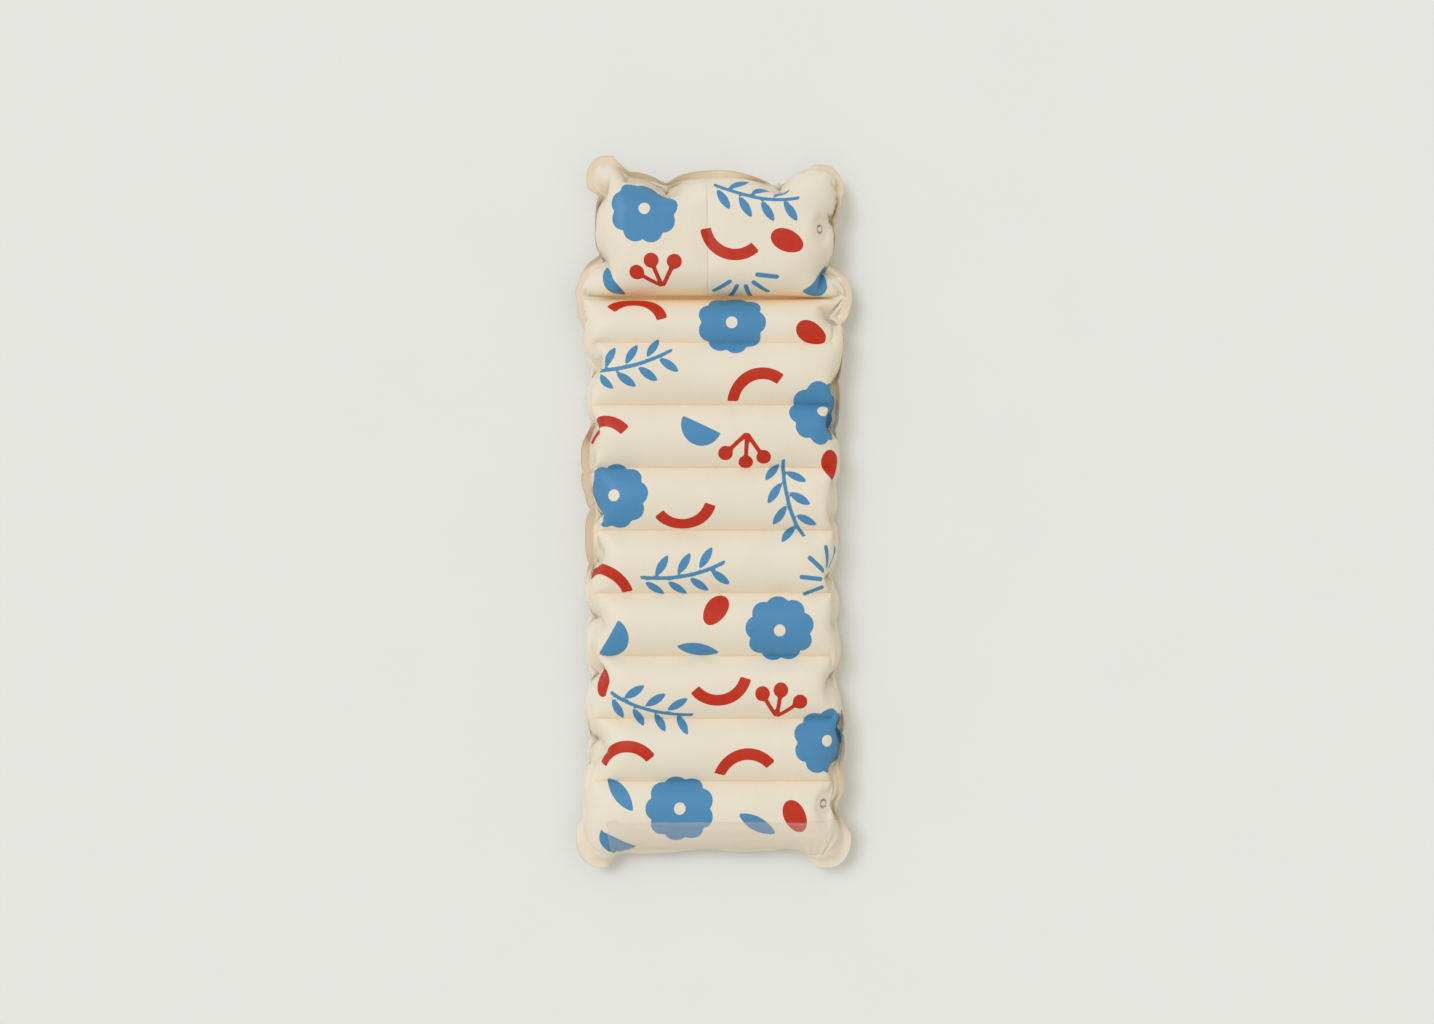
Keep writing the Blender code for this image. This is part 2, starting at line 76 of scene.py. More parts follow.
# Places along the mattress
HEAD_WELD = 0.8805
FOOT_WELD = -HEAD_WELD
PLAN_END = 0.9075
BOX_END = 0.9076
SEAMS = [-0.6785 + 0.158 * n for n in range(8)]
FOLD_START = 0.5412
FOLD_END = 0.5498
FOLD_Y = (FOLD_START + FOLD_END) / 2
FOLD_CLEAR = 0.0006
FOLD_SUNK = 0.005
FOLD_HELD = 0.27

# How far the ends, folds and tubes take to round down, and the sheet that a side takes for it
SIDE_ARC = 0.1021
END_ROUND = 0.080
BODY_FOLD_ROUND = 0.06
PILLOW_FOLD_ROUND = 0.09
TUBE_ROUND = 0.08

# The sheet as it is cut, before air goes in
FLANGE = 0.024
FLAT_CHAMBER = 0.366
FLAT_HALF = FLAT_CHAMBER + FLANGE
CORNER = 0.055
FLAT_FOOT = 0.212
FLAT_TUBE = 0.1665
FLAT_FIRST = 0.144
FLAT_FOLD = 0.016
FLAT_PILLOW = 0.392
FOLD_V = FLANGE + FLAT_FOOT + 7 * FLAT_TUBE + FLAT_FIRST + FLAT_FOLD / 2
PILLOW_SEAM_U = -0.016
PILLOW_LINE_MIDDLE = 1.725
PILLOW_LINE_HALF = 0.165
SHEET = 0.0004

# How round the corners are cut, from the edge inwards
FOOT_ROUNDING = thousandths((0, 55), (24, 125), (70, 100), (160, 1))
HEAD_ROUNDING = thousandths((0, 55), (24, 38), (60, 45), (120, 1))

# How much narrower the sheet is cut on each side, by the place along the inflated mattress
CUT_IN = thousandths((-920, 20), (-780, 0), (430, 0), (545.5, 16), (640, 18), (780, 18), (900, 30))

# The left and the right edge seen from above, as place along and half width
EDGE = (
    thousandths(
        (-910, 340), (-850, 348), (-810, 344), (-775, 331), (-700, 329), (-620, 325), (-200, 326),
        (-30, 327), (30, 327), (90, 340), (160, 337), (220, 318), (360, 322), (450, 330), (515, 347),
        (560, 353), (600, 342), (620, 332), (660, 302), (800, 300), (830, 317), (910, 322),
    ),
    thousandths(
        (-910, 338), (-850, 347), (-820, 344), (-785, 322), (-740, 318), (-700, 331), (-550, 333),
        (-440, 315), (-250, 314.5), (-140, 305), (90, 309), (250, 318.7), (400, 325), (460, 333),
        (500, 344), (545, 352.5), (590, 346), (615, 326), (660, 307), (740, 313), (800, 327), (910, 322),
    ),
)

# How much of the flange shows beyond the weld
SHOWN = (
    thousandths(
        (-840, 24), (-790, 10), (-720, 1), (-200, 1), (-140, 14), (-90, 21), (50, 22), (160, 20),
        (215, 10), (245, 2), (440, 1), (500, 18), (580, 22), (630, 12), (780, 9), (840, 24),
    ),
    thousandths(
        (-840, 24), (-790, 12), (-740, 10), (-560, 8), (-460, 1), (160, 1), (240, 8), (430, 8), (500, 20),
        (580, 21), (640, 10), (780, 13), (840, 24),
    ),
)

# Which way the flange leans: up at 1000, down at -1000
LEAN = (
    thousandths(
        (-860, -300), (-740, -1000), (-200, -1000), (-100, 1000), (200, 1000), (260, -1000), (440, -1000),
        (520, -200), (600, -200), (660, 1000), (800, 1000), (850, -300),
    ),
    thousandths(
        (-860, -300), (-780, 1000), (-520, 1000), (-460, -1000), (140, -1000), (220, 1000), (450, 1000),
        (530, -200), (580, -200), (640, 1000), (800, 1000), (850, -300),
    ),
)

# The two ends seen from above, as place across, distance inwards, flange shown and lean
FOOT_END = thousandths(
    (-345, 20, 24, -300), (-310, 0, 24, -300), (-292, 4, 22, -300), (-275, 20, 10, -800),
    (-255, 40, 1, -1000), (-230, 35.5, 6, -900), (-191, 33.4, 13, -800), (-115, 35.5, 10, -800),
    (-38, 44, 4, -900), (-10, 46, 3, -900), (25, 41.4, 6, -900), (69, 37, 8, -900), (113, 39, 7, -900),
    (161, 41.4, 6, -900), (192, 50, 1, -1000), (212, 44.7, 2, -900), (232, 32, 6, -800),
    (260, 14, 16, -500), (288, 2, 22, -300), (310, 0, 24, -300), (345, 22, 24, -300),
)
HEAD_END = thousandths(
    (-316, 23, 22, 100), (-296, 3, 24, 100), (-275.5, 0, 24, 100), (-255, 8, 20, 300),
    (-235, 26, 12, 600), (-214, 46, 8, 1000), (-194, 45, 12, 1000), (-153, 56, 11, 1000),
    (-122, 77, 1, 1000), (-92, 54, 12, 1000), (-51, 43, 18, 800), (10, 36, 23.5, 500),
    (51, 40, 19, 500), (92, 52, 10, 700), (130, 66, 4, 800), (163, 80, 1, -800), (194, 60, 1, -800),
    (214, 43, 3, -600), (255, 23, 12, -300), (275, 22, 20, 0), (296, 26, 22, 100), (318, 40, 22, 100),
)

# The four ears, seen from above: side, end, centre across, centre along, radius
EARS = [(-1, -1, 0.297, 0.857, 0.050), (1, -1, 0.297, 0.857, 0.050)]
EARS += [(-1, 1, 0.276, 0.8595, 0.048), (1, 1, 0.277, 0.832, 0.053)]
EAR_BLEND = {-1: 0.105, 1: 0.065}

# Pinches of the side welds, as place along, depth and slant, and the creases that they send inwards
PINCHES = (
    thousandths(
        (800, 10, 500), (654, 20, -400), (347, 12, 500), (224, 10, -400), (102, 8, 400), (5, 16, -500),
        (-130, 12, 500), (-258, 15, -400), (-423, 26, 500), (-570, 15, -500), (-640, 6, 400),
    ),
    thousandths(
        (740, 5, 400), (634, 32, -600), (478, 16, 500), (330, 8, -400), (209, 12, 500), (80, 8, -500),
        (-30, 10, 500), (-158, 14, -400), (-290, 8, 400), (-413, 12, -500), (-560, 6, 500),
        (-640, 10, -500), (-757, 14, 700),
    ),
)
PINCH_WIDTH = 0.011
CREASE_REACH = 0.066
CREASE_DEPTH = 0.009
CREASE_FADE = 0.7
CREASE_PULL = 0.5
CREASE_LAYERS = ((0, 1.0), (1, 0.6))
WHOLE_PINCH = 0.012
DEEPEST_SHARE = 1.3

# Folds that the head end makes in its chamber, as place across, depth and slant
HEAD_FOLDS = thousandths((-214, 10, -200), (-122, 26, 100), (163, 20, -100))
HEAD_FOLD_REACH = 0.080

# The cross webs: their half length, and where and how far they draw in and lie lower at their ends
WEB_HALF = 0.300
WEB_END = 0.262
WEB_END_RUN = 0.040
WEB_END_IN = 0.006
WEB_END_LOW = 0.10

# The pillow's web: how far the sheet stays off it, and half the strip of sheet over it
WEB_CLEAR = 0.0012
WEB_STRIP = 0.022
SAME_PLACE = 0.0002

# The crumples: how strong and wide they are at a seam and at the pillow's, and their fades at a side
SEAM_GATHER = 0.7
SEAM_GATHER_REACH = 0.022
MIDDLE_GATHER = 0.8
MIDDLE_GATHER_REACH = 0.03
SIDE_GATHER_FROM = FLAT_CHAMBER - 0.11
SIDE_GATHER_FADE = 0.07
EDGE_GATHER_FADE = 0.02

# A valve's cup: its straight rim, the seat at its foot that follows the stem, and the rings between
CUP_RIM = 0.0009
CUP_SEAT = 0.0012
CUP_RINGS = 9

# The flat seat round each valve, and the hole in it
SEAT_ABOVE_BASE = 0.0008 - SHEET
SEAT_FLAT = 0.0190
SEAT_FADE = 0.031
HOLE_RADIUS = 0.0130
RING_RADIUS = 0.0176
WELL_DEPTHS = (0.0006, 0.030)

# Where the sheet folded over itself: how far its normals turn, and how long it is smoothed
CALM_TURN = 0.30
CALM_PASSES = 3
CALM_ROUNDS = 6
CALM_SPREAD = 8
CALM_SHARE = 0.5

# The clear film over the foot end, as flat distances from the weld and from the middle
FILM_FROM = 0.006
FILM_TO = 0.112
FILM_LEFT = -0.281
FILM_RIGHT = 0.322
FILM_WIDTH = FILM_RIGHT - FILM_LEFT
FILM_HEIGHT = FILM_TO - FILM_FROM
FILM_CORNER = 0.012
FILM_ABOVE = 0.0005
FILM_SHEET = 0.0003
FILM_GRID = (150, 32)

# How close beside a weld or seam the two lines lie that keep its edge crisp, in grid cells
LINE_BESIDE = 0.28

# Round the ears the flange's points slide along its edge this far from the corner
SPREAD_REACH = 0.19
SPREAD_FADE = 0.05
SPREAD_ROUNDS = 25
SPREAD_STEP = 0.6

# Length and cells of each stretch of the sheet, from the foot, and from left to right
CELLS_OF_FLANGE = 2
LENGTHWISE = [(FLANGE, CELLS_OF_FLANGE), (FLAT_FOOT, 10)] + [(FLAT_TUBE, 8)] * 7
LENGTHWISE += [(FLAT_FIRST, 7), (FLAT_FOLD, 1), (FLAT_PILLOW, 19), (FLANGE, CELLS_OF_FLANGE)]
CROSSWISE = [(FLANGE, CELLS_OF_FLANGE), (2 * FLAT_CHAMBER, 36), (FLANGE, CELLS_OF_FLANGE)]

# Links between grid points, as steps down and along, pull, push, and the batches that share no point
LINKS = [(0, 1, 1.0, 0.25, 2), (1, 0, 1.0, 0.25, 2), (1, 1, 0.6, 0.15, 2), (1, -1, 0.6, 0.15, 2)]
LINKS += [(0, 2, 0.03, 0.05, 4), (2, 0, 0.03, 0.05, 4)]

# The grids in turn, as how fine, steps, rounds in each step, air pressure and hold on the edge
STAGES = [(1, 200, 4, 0.0005, 0.15), (2, 100, 5, 0.0002, 0.10), (4, 40, 5, 0.0001, 0.06)]
DAMPING = 0.90


def eased(stations, at):
    """Smooth values through a table of places and values, level at each of them."""
    places, values = stations.T
    at = np.clip(at, places[0], places[-1])
    after = np.clip(np.searchsorted(places, at), 1, len(places) - 1)
    share = (at - places[after - 1]) / (places[after] - places[after - 1])
    share = (1 - np.cos(np.pi * share)) / 2
    return values[after - 1] + (values[after] - values[after - 1]) * share


def by_side(left, tables, y):
    """The same along each side, from the left and the right table."""
    return np.where(left, eased(tables[0], y), eased(tables[1], y))


def round_in(beyond_side, beyond_end, radius):
    """How far points move in on both axes, so that a square corner comes out round."""
    corner = (beyond_side > 0) & (beyond_end > 0)
    shrink = np.where(corner, radius / np.maximum(np.hypot(beyond_side, beyond_end), 1e-9), 1)
    return beyond_side * (1 - shrink), beyond_end * (1 - shrink)


def rise(distance, reach):
    """A quarter round that is up at its height after a reach."""
    near = np.clip(distance / reach, 0, 1)
    return np.sqrt(1 - (1 - near) ** 2)


def drop(shown):
    """How far the flange stands up or down where only part of its width shows."""
    return np.sqrt(np.maximum(FLANGE**2 - shown**2, 0))


def edge_of(grid):
    """What lies along a grid's edge, in turn."""
    return np.concatenate([grid[0], grid[1:, -1], grid[-1, -2::-1], grid[-2:0:-1, 0]])


def grid_places(stretches, finer):
    """Grid places through stretches of (length, cells), and the line where each stretch ends."""
    places = [0.0]
    ends = []
    for length, cells in stretches:
        start = places[-1]
        count = cells * finer
        places += [start + length * (n + 1) / count for n in range(count)]
        ends.append(len(places) - 1)
    return np.array(places), ends


class Seat:
    """Where a valve sits: its centre on the sheet, its axis out of it, and the slope down from it."""

    def __init__(self, valve):
        base = bpy.data.objects[f"{valve}_base"].data
        places = np.array([corner.co for corner in base.vertices])
        joints = frame["record"]["behaviour"]["joints"]
        self.out = np.array(next(joint["axis"] for joint in joints if joint["name"] == f"{valve}_pull"))
        self.out /= np.linalg.norm(self.out)
        top = (places @ self.out).max()
        middle = (places.min(0) + places.max(0)) / 2
        self.centre = middle + (top + SEAT_ABOVE_BASE - middle @ self.out) * self.out
        self.along = np.array([0.0, 1.0, 0.0])
        self.down = np.cross(self.along, self.out)

    def nearest(self, places):
        """The grid point that lies nearest to the seat."""
        away = np.linalg.norm(places - self.centre, axis=-1)
        return np.unravel_index(np.argmin(away), away.shape)


SEATS = [Seat("foot_valve"), Seat("pillow_valve")]


class CutSheet:
    """The cut sheet as a grid of flat places, with its welds and seams."""

    def __init__(self, finer):
        self.finer = finer
        self.along, rows = grid_places(LENGTHWISE, finer)
        across, columns = grid_places(CROSSWISE, finer)
        self.across = across - FLAT_HALF
        self.length = self.along[-1]
        self.lines = rows[:-1]
        self.foot_weld, *self.seams, self.fold_start, self.fold_end, self.head_weld = self.lines
        self.left_weld, self.right_weld, _ = columns
        self.flat = self.rounded(*np.meshgrid(self.across, self.along))
        self.joined = np.ones(self.flat.shape[:2], bool)
        for start, end in ((self.foot_weld, self.fold_start), (self.fold_end, self.head_weld)):
            self.joined[start + 1 : end, self.left_weld + 1 : self.right_weld] = False

    def rounded(self, u, v):
        """Cut the sheet to shape: narrower in places, with round corners, rounder at the weld."""
        middle = self.length / 2
        inside = np.minimum(FLAT_HALF - np.abs(u), middle - np.abs(v - middle))
        at_foot, at_head = (np.interp(inside, *table.T) for table in (FOOT_ROUNDING, HEAD_ROUNDING))
        radius = np.where(v < middle, at_foot, at_head)
        beyond_side = np.abs(u) - (FLAT_HALF - inside - radius)
        beyond_end = np.abs(v - middle) - (middle - inside - radius)
        side_in, end_in = round_in(beyond_side, beyond_end, radius)
        u = np.sign(u) * (np.abs(u) - side_in)
        v = v - np.sign(v - middle) * end_in
        return np.stack([u * (1 - eased(CUT_IN, self.plan_y(v)) / FLAT_HALF), v], axis=-1)

    def plan_y(self, v):
        """Where a place along the cut sheet comes to lie along the mattress."""
        plan = [-PLAN_END, FOOT_WELD, *SEAMS, FOLD_START, FOLD_END, HEAD_WELD, PLAN_END]
        return np.interp(v, self.along[[0, *self.lines, -1]], plan)

    def edges(self, y, left):
        """From above: the half width at the weld and at the flange's edge."""
        edge = by_side(left, EDGE, y)
        for side, pinches in zip((left, ~left), PINCHES):
            for place, depth, _ in pinches:
                edge = edge - side * depth * np.exp(-np.abs(y - place) / PINCH_WIDTH)
        return edge - by_side(left, SHOWN, y), edge

    def start_shape(self):
        """A plain blown-up form: the upper and the lower sheet, each as a grid of points."""
        u, v = self.flat[..., 0], self.flat[..., 1]
        plan = self.plan_y(v)
        left = u < 0
        cut_in = eased(CUT_IN, plan)
        chamber = FLAT_CHAMBER * (1 - cut_in / FLAT_HALF)
        flange = FLAT_HALF - cut_in - chamber
        share = np.clip((chamber - np.abs(u)) / SIDE_ARC, 0, 1)
        turned = (1 - share) * np.pi / 2
        weld, edge = self.edges(plan, left)
        level = chamber - SIDE_ARC
        past = np.clip((np.abs(u) - chamber) / flange, 0, 1)
        x = np.where(share >= 1, np.abs(u), level + (weld - level) * np.sin(turned))
        x = np.sign(u) * (x + past * (edge - weld))
        side = np.cos(turned) * (np.abs(u) < chamber)
        lift = past * drop(edge - weld) * by_side(left, LEAN, plan)

        y = plan
        past_foot = np.clip((self.along[self.foot_weld] - v) / FLANGE, 0, 1)
        past_head = np.clip((v - self.along[self.head_weld]) / FLANGE, 0, 1)
        for (place, *rows), past_end, end in ((FOOT_END.T, past_foot, -1), (HEAD_END.T, past_head, 1)):
            drawn, shown, tilt = (np.interp(x, place, row) for row in rows)
            weld_y = end * (BOX_END - drawn - shown)
            near = np.clip(1 - (end * HEAD_WELD - y) * end / END_ROUND, 0, 1)
            y = y + np.where(past_end > 0, 0, near * (weld_y - end * HEAD_WELD))
            y = np.where(past_end > 0, weld_y + end * past_end * shown, y)
            lift = np.where(past_end > past, past_end * drop(shown) * tilt, lift)

        body = rise(plan - FOOT_WELD, END_ROUND) * rise(FOLD_START - plan, BODY_FOLD_ROUND)
        pillow = rise(plan - FOLD_END, PILLOW_FOLD_ROUND) * rise(HEAD_WELD - plan, END_ROUND)
        phase = np.interp(v, self.along[self.lines[:10]], range(10))
        crown = CROWN * np.abs(np.sin(np.pi * phase)) ** CROWN_POWER
        crown = np.where((phase < 1) | (phase > 8), CROWN, crown)
        for seam in self.along[self.seams]:
            near = np.clip(np.abs(v - seam) / TUBE_ROUND, 0, 1)
            crown = np.minimum(crown, CROWN * np.sin(np.pi / 2 * near) ** CROWN_POWER)
        in_pillow = plan > FOLD_END
        up = np.where(in_pillow, pillow * PILLOW_DEPTH, body * (SEAM_RISE + crown))
        down = np.where(in_pillow, pillow, body) * (SEAM_DROP + crown)
        points = np.stack([np.stack([x, y, MID + side * off + lift], axis=-1) for off in (up, -down)])
        self.lay_ears(points[0])
        self.spread(points[0])
        points[1, self.joined] = points[0, self.joined]
        return points

    def lay_ears(self, places):
        """The flange's corners stay flat: each lies in the plane as it was cut, fading into the edges."""
        u, v = self.flat[..., 0], self.flat[..., 1]
        for side, end, centre_x, centre_y, radius in EARS:
            corner = CORNER if end < 0 else self.length - CORNER
            half = self.flat[np.argmin(np.abs(self.along - corner)), -1, 0]
            beyond_side = side * u - (half - CORNER)
            beyond_end = CORNER - (v if end < 0 else self.length - v)
            scale = radius / CORNER
            x = side * (centre_x + beyond_side * scale)
            y = end * (centre_y + beyond_end * scale)
            near = np.clip(1 + np.minimum(beyond_side, beyond_end) / EAR_BLEND[end], 0, 1)
            near = np.where(self.joined, near**2 * (3 - 2 * near), 0)[..., None]
            places[..., :2] += near * (np.stack([x, y], axis=-1) - places[..., :2])

    def spread(self, places):
        """Slide the flange's points along its edge round the ears, until they lie as evenly as cut."""
        rows, columns = self.joined.shape
        number = np.arange(rows * columns).reshape(rows, columns)
        flat = self.flat.reshape(-1, 2)
        lies = places.reshape(-1, 3)
        for ring in range(CELLS_OF_FLANGE * self.finer + 1):
            loop = edge_of(number[ring : rows - ring, ring : columns - ring])
            cut, points = flat[loop], lies[loop]
            ahead = np.linalg.norm(np.roll(cut, -1, axis=0) - cut, axis=1)[:, None]
            back = np.roll(ahead, 1, axis=0)
            from_end = np.minimum(cut[:, 1], self.length - cut[:, 1])
            from_corner = np.maximum(FLAT_HALF - np.abs(cut[:, 0]), from_end)
            near = np.clip((SPREAD_REACH - from_corner) / SPREAD_FADE, 0, 1)[:, None]
            for _ in range(SPREAD_ROUNDS * self.finer**2):
                following, previous = np.roll(points, -1, axis=0), np.roll(points, 1, axis=0)
                along = following - previous
                along /= np.linalg.norm(along, axis=1, keepdims=True) + 1e-12
                off = (following * back + previous * ahead) / (ahead + back) - points
                points = points + SPREAD_STEP * near * np.sum(off * along, axis=1, keepdims=True) * along
            lies[loop] = points
        places[:] = lies.reshape(places.shape)


def outward(points):
    """Unit normals out of the chambers, at every point of both sheets."""
    normal = np.cross(np.gradient(points, axis=2), np.gradient(points, axis=1))
    normal /= np.linalg.norm(normal, axis=-1, keepdims=True) + 1e-12
    normal[1] *= -1
    return normal


def joined_up(parts):
    """Rows, columns and depths of several creases, each in one array."""
    rows, columns, depths = (np.concatenate(part) for part in zip(*parts))
    return rows.astype(int), columns.astype(int), depths


class Inflation:
    """Blows the two welded sheets up, as cloth that hardly stretches."""

    def __init__(self, sheet, points):
        self.sheet = sheet
        self.points = points
        self.fold_rows = slice(sheet.fold_start, sheet.fold_end + 1)
        self.fold_held = np.abs(sheet.across) <= FOLD_HELD
        self.fold_places = points[0, self.fold_rows].copy()
        across_fold = np.linspace(-1, 1, self.fold_rows.stop - self.fold_rows.start)
        self.fold_heights = MID - FOLD_SUNK * (1 - np.abs(across_fold))[:, None]
        self.loose = np.ones(points.shape[:3])
        self.edge_places = sheet.start_shape()[0, sheet.joined]
        self.hold_webs()
        self.creases = [self.side_creases(), self.head_folds()]
        self.seats = [self.seat_block(seat) for seat in SEATS]
        self.find_web()
        self.set_ceiling()
        self.links = [link for kind in LINKS for link in self.links_of(*kind)]

    def hold_webs(self):
        """The webs hold both sheets along the seams."""
        held = np.abs(self.sheet.across) <= WEB_HALF
        across = self.sheet.across[held]
        end = np.clip((np.abs(across) - WEB_END) / WEB_END_RUN, 0, 1) ** 2
        for seam, y in zip(self.sheet.seams, SEAMS):
            self.points[:, seam, held, 1] = y
            self.points[:, seam, held, 0] = across - np.sign(across) * WEB_END_IN * end
            for layer, off in ((0, SEAM_RISE), (1, -SEAM_DROP)):
                self.points[layer, seam, held, 2] = MID + off * (1 - WEB_END_LOW * end)
            self.loose[:, seam, held] = 0.0

    def side_creases(self):
        """Grid points along the creases of both sides, their depths, and how far off their sides lie."""
        sheet, upper = self.sheet, self.points[0]
        cell = sheet.across[sheet.left_weld + 1] - sheet.across[sheet.left_weld]
        n = np.arange(int(round(CREASE_REACH / cell)))
        parts = []
        for inwards, weld, pinches in zip((1, -1), (sheet.left_weld, sheet.right_weld), PINCHES):
            for place, depth, slant in pinches:
                row = np.argmin(np.abs(upper[:, weld, 1] - place))
                deepest = CREASE_DEPTH * min(depth / WHOLE_PINCH, DEEPEST_SHARE)
                fade = (1 - n / len(n)) ** CREASE_FADE
                parts.append((row + np.rint(slant * n), weld + inwards * n, deepest * fade))
        rows, columns, depths = joined_up(parts)
        rows = np.clip(rows, 1, len(sheet.along) - 2)
        for seat in SEATS:
            clear = np.linalg.norm(upper[rows, columns] - seat.centre, axis=-1) > SEAT_FADE
            rows, columns, depths = rows[clear], columns[clear], depths[clear]
        return rows, columns, depths[:, None], 1, 0

    def head_folds(self):
        """The same for the folds that run in from the head end."""
        sheet = self.sheet
        cell = sheet.along[sheet.head_weld] - sheet.along[sheet.head_weld - 1]
        n = np.arange(int(round(HEAD_FOLD_REACH / cell)))
        parts = []
        for place, depth, slant in HEAD_FOLDS:
            column = np.argmin(np.abs(self.points[0, sheet.head_weld, :, 0] - place))
            parts.append((sheet.head_weld - n, column + np.rint(slant * n), depth * (1 - n / len(n))))
        rows, columns, depths = joined_up(parts)
        return rows, columns, depths[:, None], 0, 2

    def sink_creases(self, normals):
        for rows, columns, depths, down, along in self.creases:
            for layer, share in CREASE_LAYERS:
                points = self.points[layer]
                sides = points[rows - down, columns - along] + points[rows + down, columns + along]
                sunk = sides / 2 - normals[layer, rows, columns] * depths * share
                points[rows, columns] += CREASE_PULL * (sunk - points[rows, columns])

    def seat_block(self, seat):
        """The grid points round a valve, which its ring keeps flat."""
        row, column = seat.nearest(self.points[0])
        reach = 5 * self.sheet.finer
        return seat, (0, slice(row - reach, row + reach + 1), slice(column - reach, column + reach + 1))

    def flatten_seats(self):
        for seat, block in self.seats:
            away = self.points[block] - seat.centre
            height = away @ seat.out
            flat = np.linalg.norm(away - height[..., None] * seat.out, axis=-1)
            share = np.clip((SEAT_FADE - flat) / (SEAT_FADE - SEAT_FLAT), 0, 1)
            self.points[block] -= (height * share)[..., None] * seat.out

    def find_web(self):
        """The strip of sheet over the pillow's web, and the web's own top and foot along it."""
        web = bpy.data.objects["pillow_web"].data
        corners = np.array([corner.co for corner in web.vertices])
        self.web_y = np.unique(corners[:, 1].round(4))
        rows = [corners[np.abs(corners[:, 1] - y) < SAME_PLACE, 2] for y in self.web_y]
        top = np.array([row.max() for row in rows]) + WEB_CLEAR
        foot = np.array([row.min() for row in rows]) - WEB_CLEAR
        self.web_limits = ((0, np.maximum, top), (1, np.minimum, foot))
        columns = np.nonzero(np.abs(self.sheet.across - PILLOW_SEAM_U) <= WEB_STRIP)[0]
        in_pillow = slice(self.sheet.fold_end + 1, self.sheet.head_weld)
        self.over_web = in_pillow, slice(columns[0], columns[-1] + 1)

    def clear_web(self):
        for layer, limit, heights in self.web_limits:
            over = self.points[layer][self.over_web]
            y, z = over[..., 1], over[..., 2]
            past_web = (y < self.web_y[0]) | (y > self.web_y[-1])
            z[:] = np.where(past_web, z, limit(z, np.interp(y, self.web_y, heights)))

    def set_ceiling(self):
        """How high the air may lift each point: the pillow's own web keeps its middle down."""
        sheet = self.sheet
        u, v = sheet.flat[..., 0], sheet.flat[..., 1]
        start, end = sheet.along[sheet.fold_end], sheet.along[sheet.head_weld]
        along = np.clip((v - (start + end) / 2) / ((end - start) / 2), -1, 1)
        crown = 1 - PILLOW_FALL_ALONG * along**2 - PILLOW_FALL_ACROSS * (u / FLAT_CHAMBER) ** 4
        near = np.clip(1 - np.abs(u - PILLOW_SEAM_U) / PILLOW_VALLEY_REACH, 0, 1)
        pillow = MID + PILLOW_CEILING * crown - PILLOW_VALLEY * near**1.5
        self.ceiling = np.where(v > start, pillow, MID + BODY_CEILING)

    def links_of(self, down, along, pull, push, batches):
        """Links between grid neighbours, in batches that share no point."""
        sheet = self.sheet
        rows, columns = sheet.joined.shape
        for start in range(batches):
            row, column = (start, 0) if down else (0, start)
            row_step, column_step = (batches, 1) if down else (1, batches)
            ahead, back = max(along, 0), max(-along, 0)
            first = slice(row, rows - down, row_step), slice(column + back, columns - ahead, column_step)
            second = slice(row + down, rows, row_step), slice(column + ahead, columns - back, column_step)
            rest = np.linalg.norm(sheet.flat[second] - sheet.flat[first], axis=-1)
            push_there = np.where(sheet.joined[first] & sheet.joined[second], 0, push)
            yield (slice(None), *first), (slice(None), *second), rest, pull, push_there

    def tighten(self):
        """Bring all links nearer to their length, and hold what is welded, seated or kept down."""
        points, loose = self.points, self.loose
        for a, b, rest, pull, push in self.links:
            between = points[b] - points[a]
            length = np.sqrt(np.einsum("...k,...k->...", between, between)) + 1e-12
            change = 1 - rest / length
            change *= np.where(change > 0, pull, push)
            change /= loose[a] + loose[b] + 1e-9
            points[a] += (change * loose[a])[..., None] * between
            points[b] -= (change * loose[b])[..., None] * between
        joined = self.sheet.joined
        middle = (points[0, joined] + points[1, joined]) / 2
        middle += self.edge_hold * (self.edge_places - middle)
        points[:, joined] = middle
        body = points[:, : self.sheet.fold_start, :, 1]
        np.minimum(body, FOLD_Y - FOLD_CLEAR, out=body)
        pillow = points[:, self.sheet.fold_end + 1 :, :, 1]
        np.maximum(pillow, FOLD_Y + FOLD_CLEAR, out=pillow)
        self.flatten_seats()
        held = self.fold_held
        points[:, self.fold_rows, held, 1] = self.fold_places[:, held, 1]
        points[:, self.fold_rows, held, 2] = self.fold_heights
        np.maximum(points[..., 2], FLOOR_CLEAR, out=points[..., 2])
        np.minimum(points[0, ..., 2], self.ceiling, out=points[0, ..., 2])
        self.clear_web()

    def run(self, steps, rounds, pressure, edge_hold):
        self.edge_hold = edge_hold
        previous = self.points.copy()
        free = self.loose[..., None] * ~self.sheet.joined[None, ..., None]
        for _ in range(steps):
            moving = (self.points - previous) * DAMPING
            previous = self.points.copy()
            normals = outward(self.points)
            self.points += moving + normals * free * pressure
            for _ in range(rounds):
                self.tighten()
                self.sink_creases(normals)
        return self.points


def refined(points):
    """The same grid with a point between every two."""
    for axis in (1, 2):
        points = np.moveaxis(points, axis, 0)
        doubled = np.repeat(points, 2, axis=0)[:-1]
        doubled[1::2] = (points[:-1] + points[1:]) / 2
        points = np.moveaxis(doubled, 0, axis)
    return np.ascontiguousarray(points)


def beside(grid, reach=1):
    """The mean of each grid point's neighbours, up to reach cells away on both axes."""
    rows, columns = grid.shape[1:3]
    padded = np.pad(grid, ((0, 0), (reach, reach), (reach, reach), (0, 0)), mode="edge")
    steps = [n for n in range(-reach, reach + 1) if n]
    found = [
        padded[:, reach + down : reach + down + rows, reach + along : reach + along + columns]
        for down, along in [(n, 0) for n in steps] + [(0, n) for n in steps]
    ]
    return sum(found) / len(found)


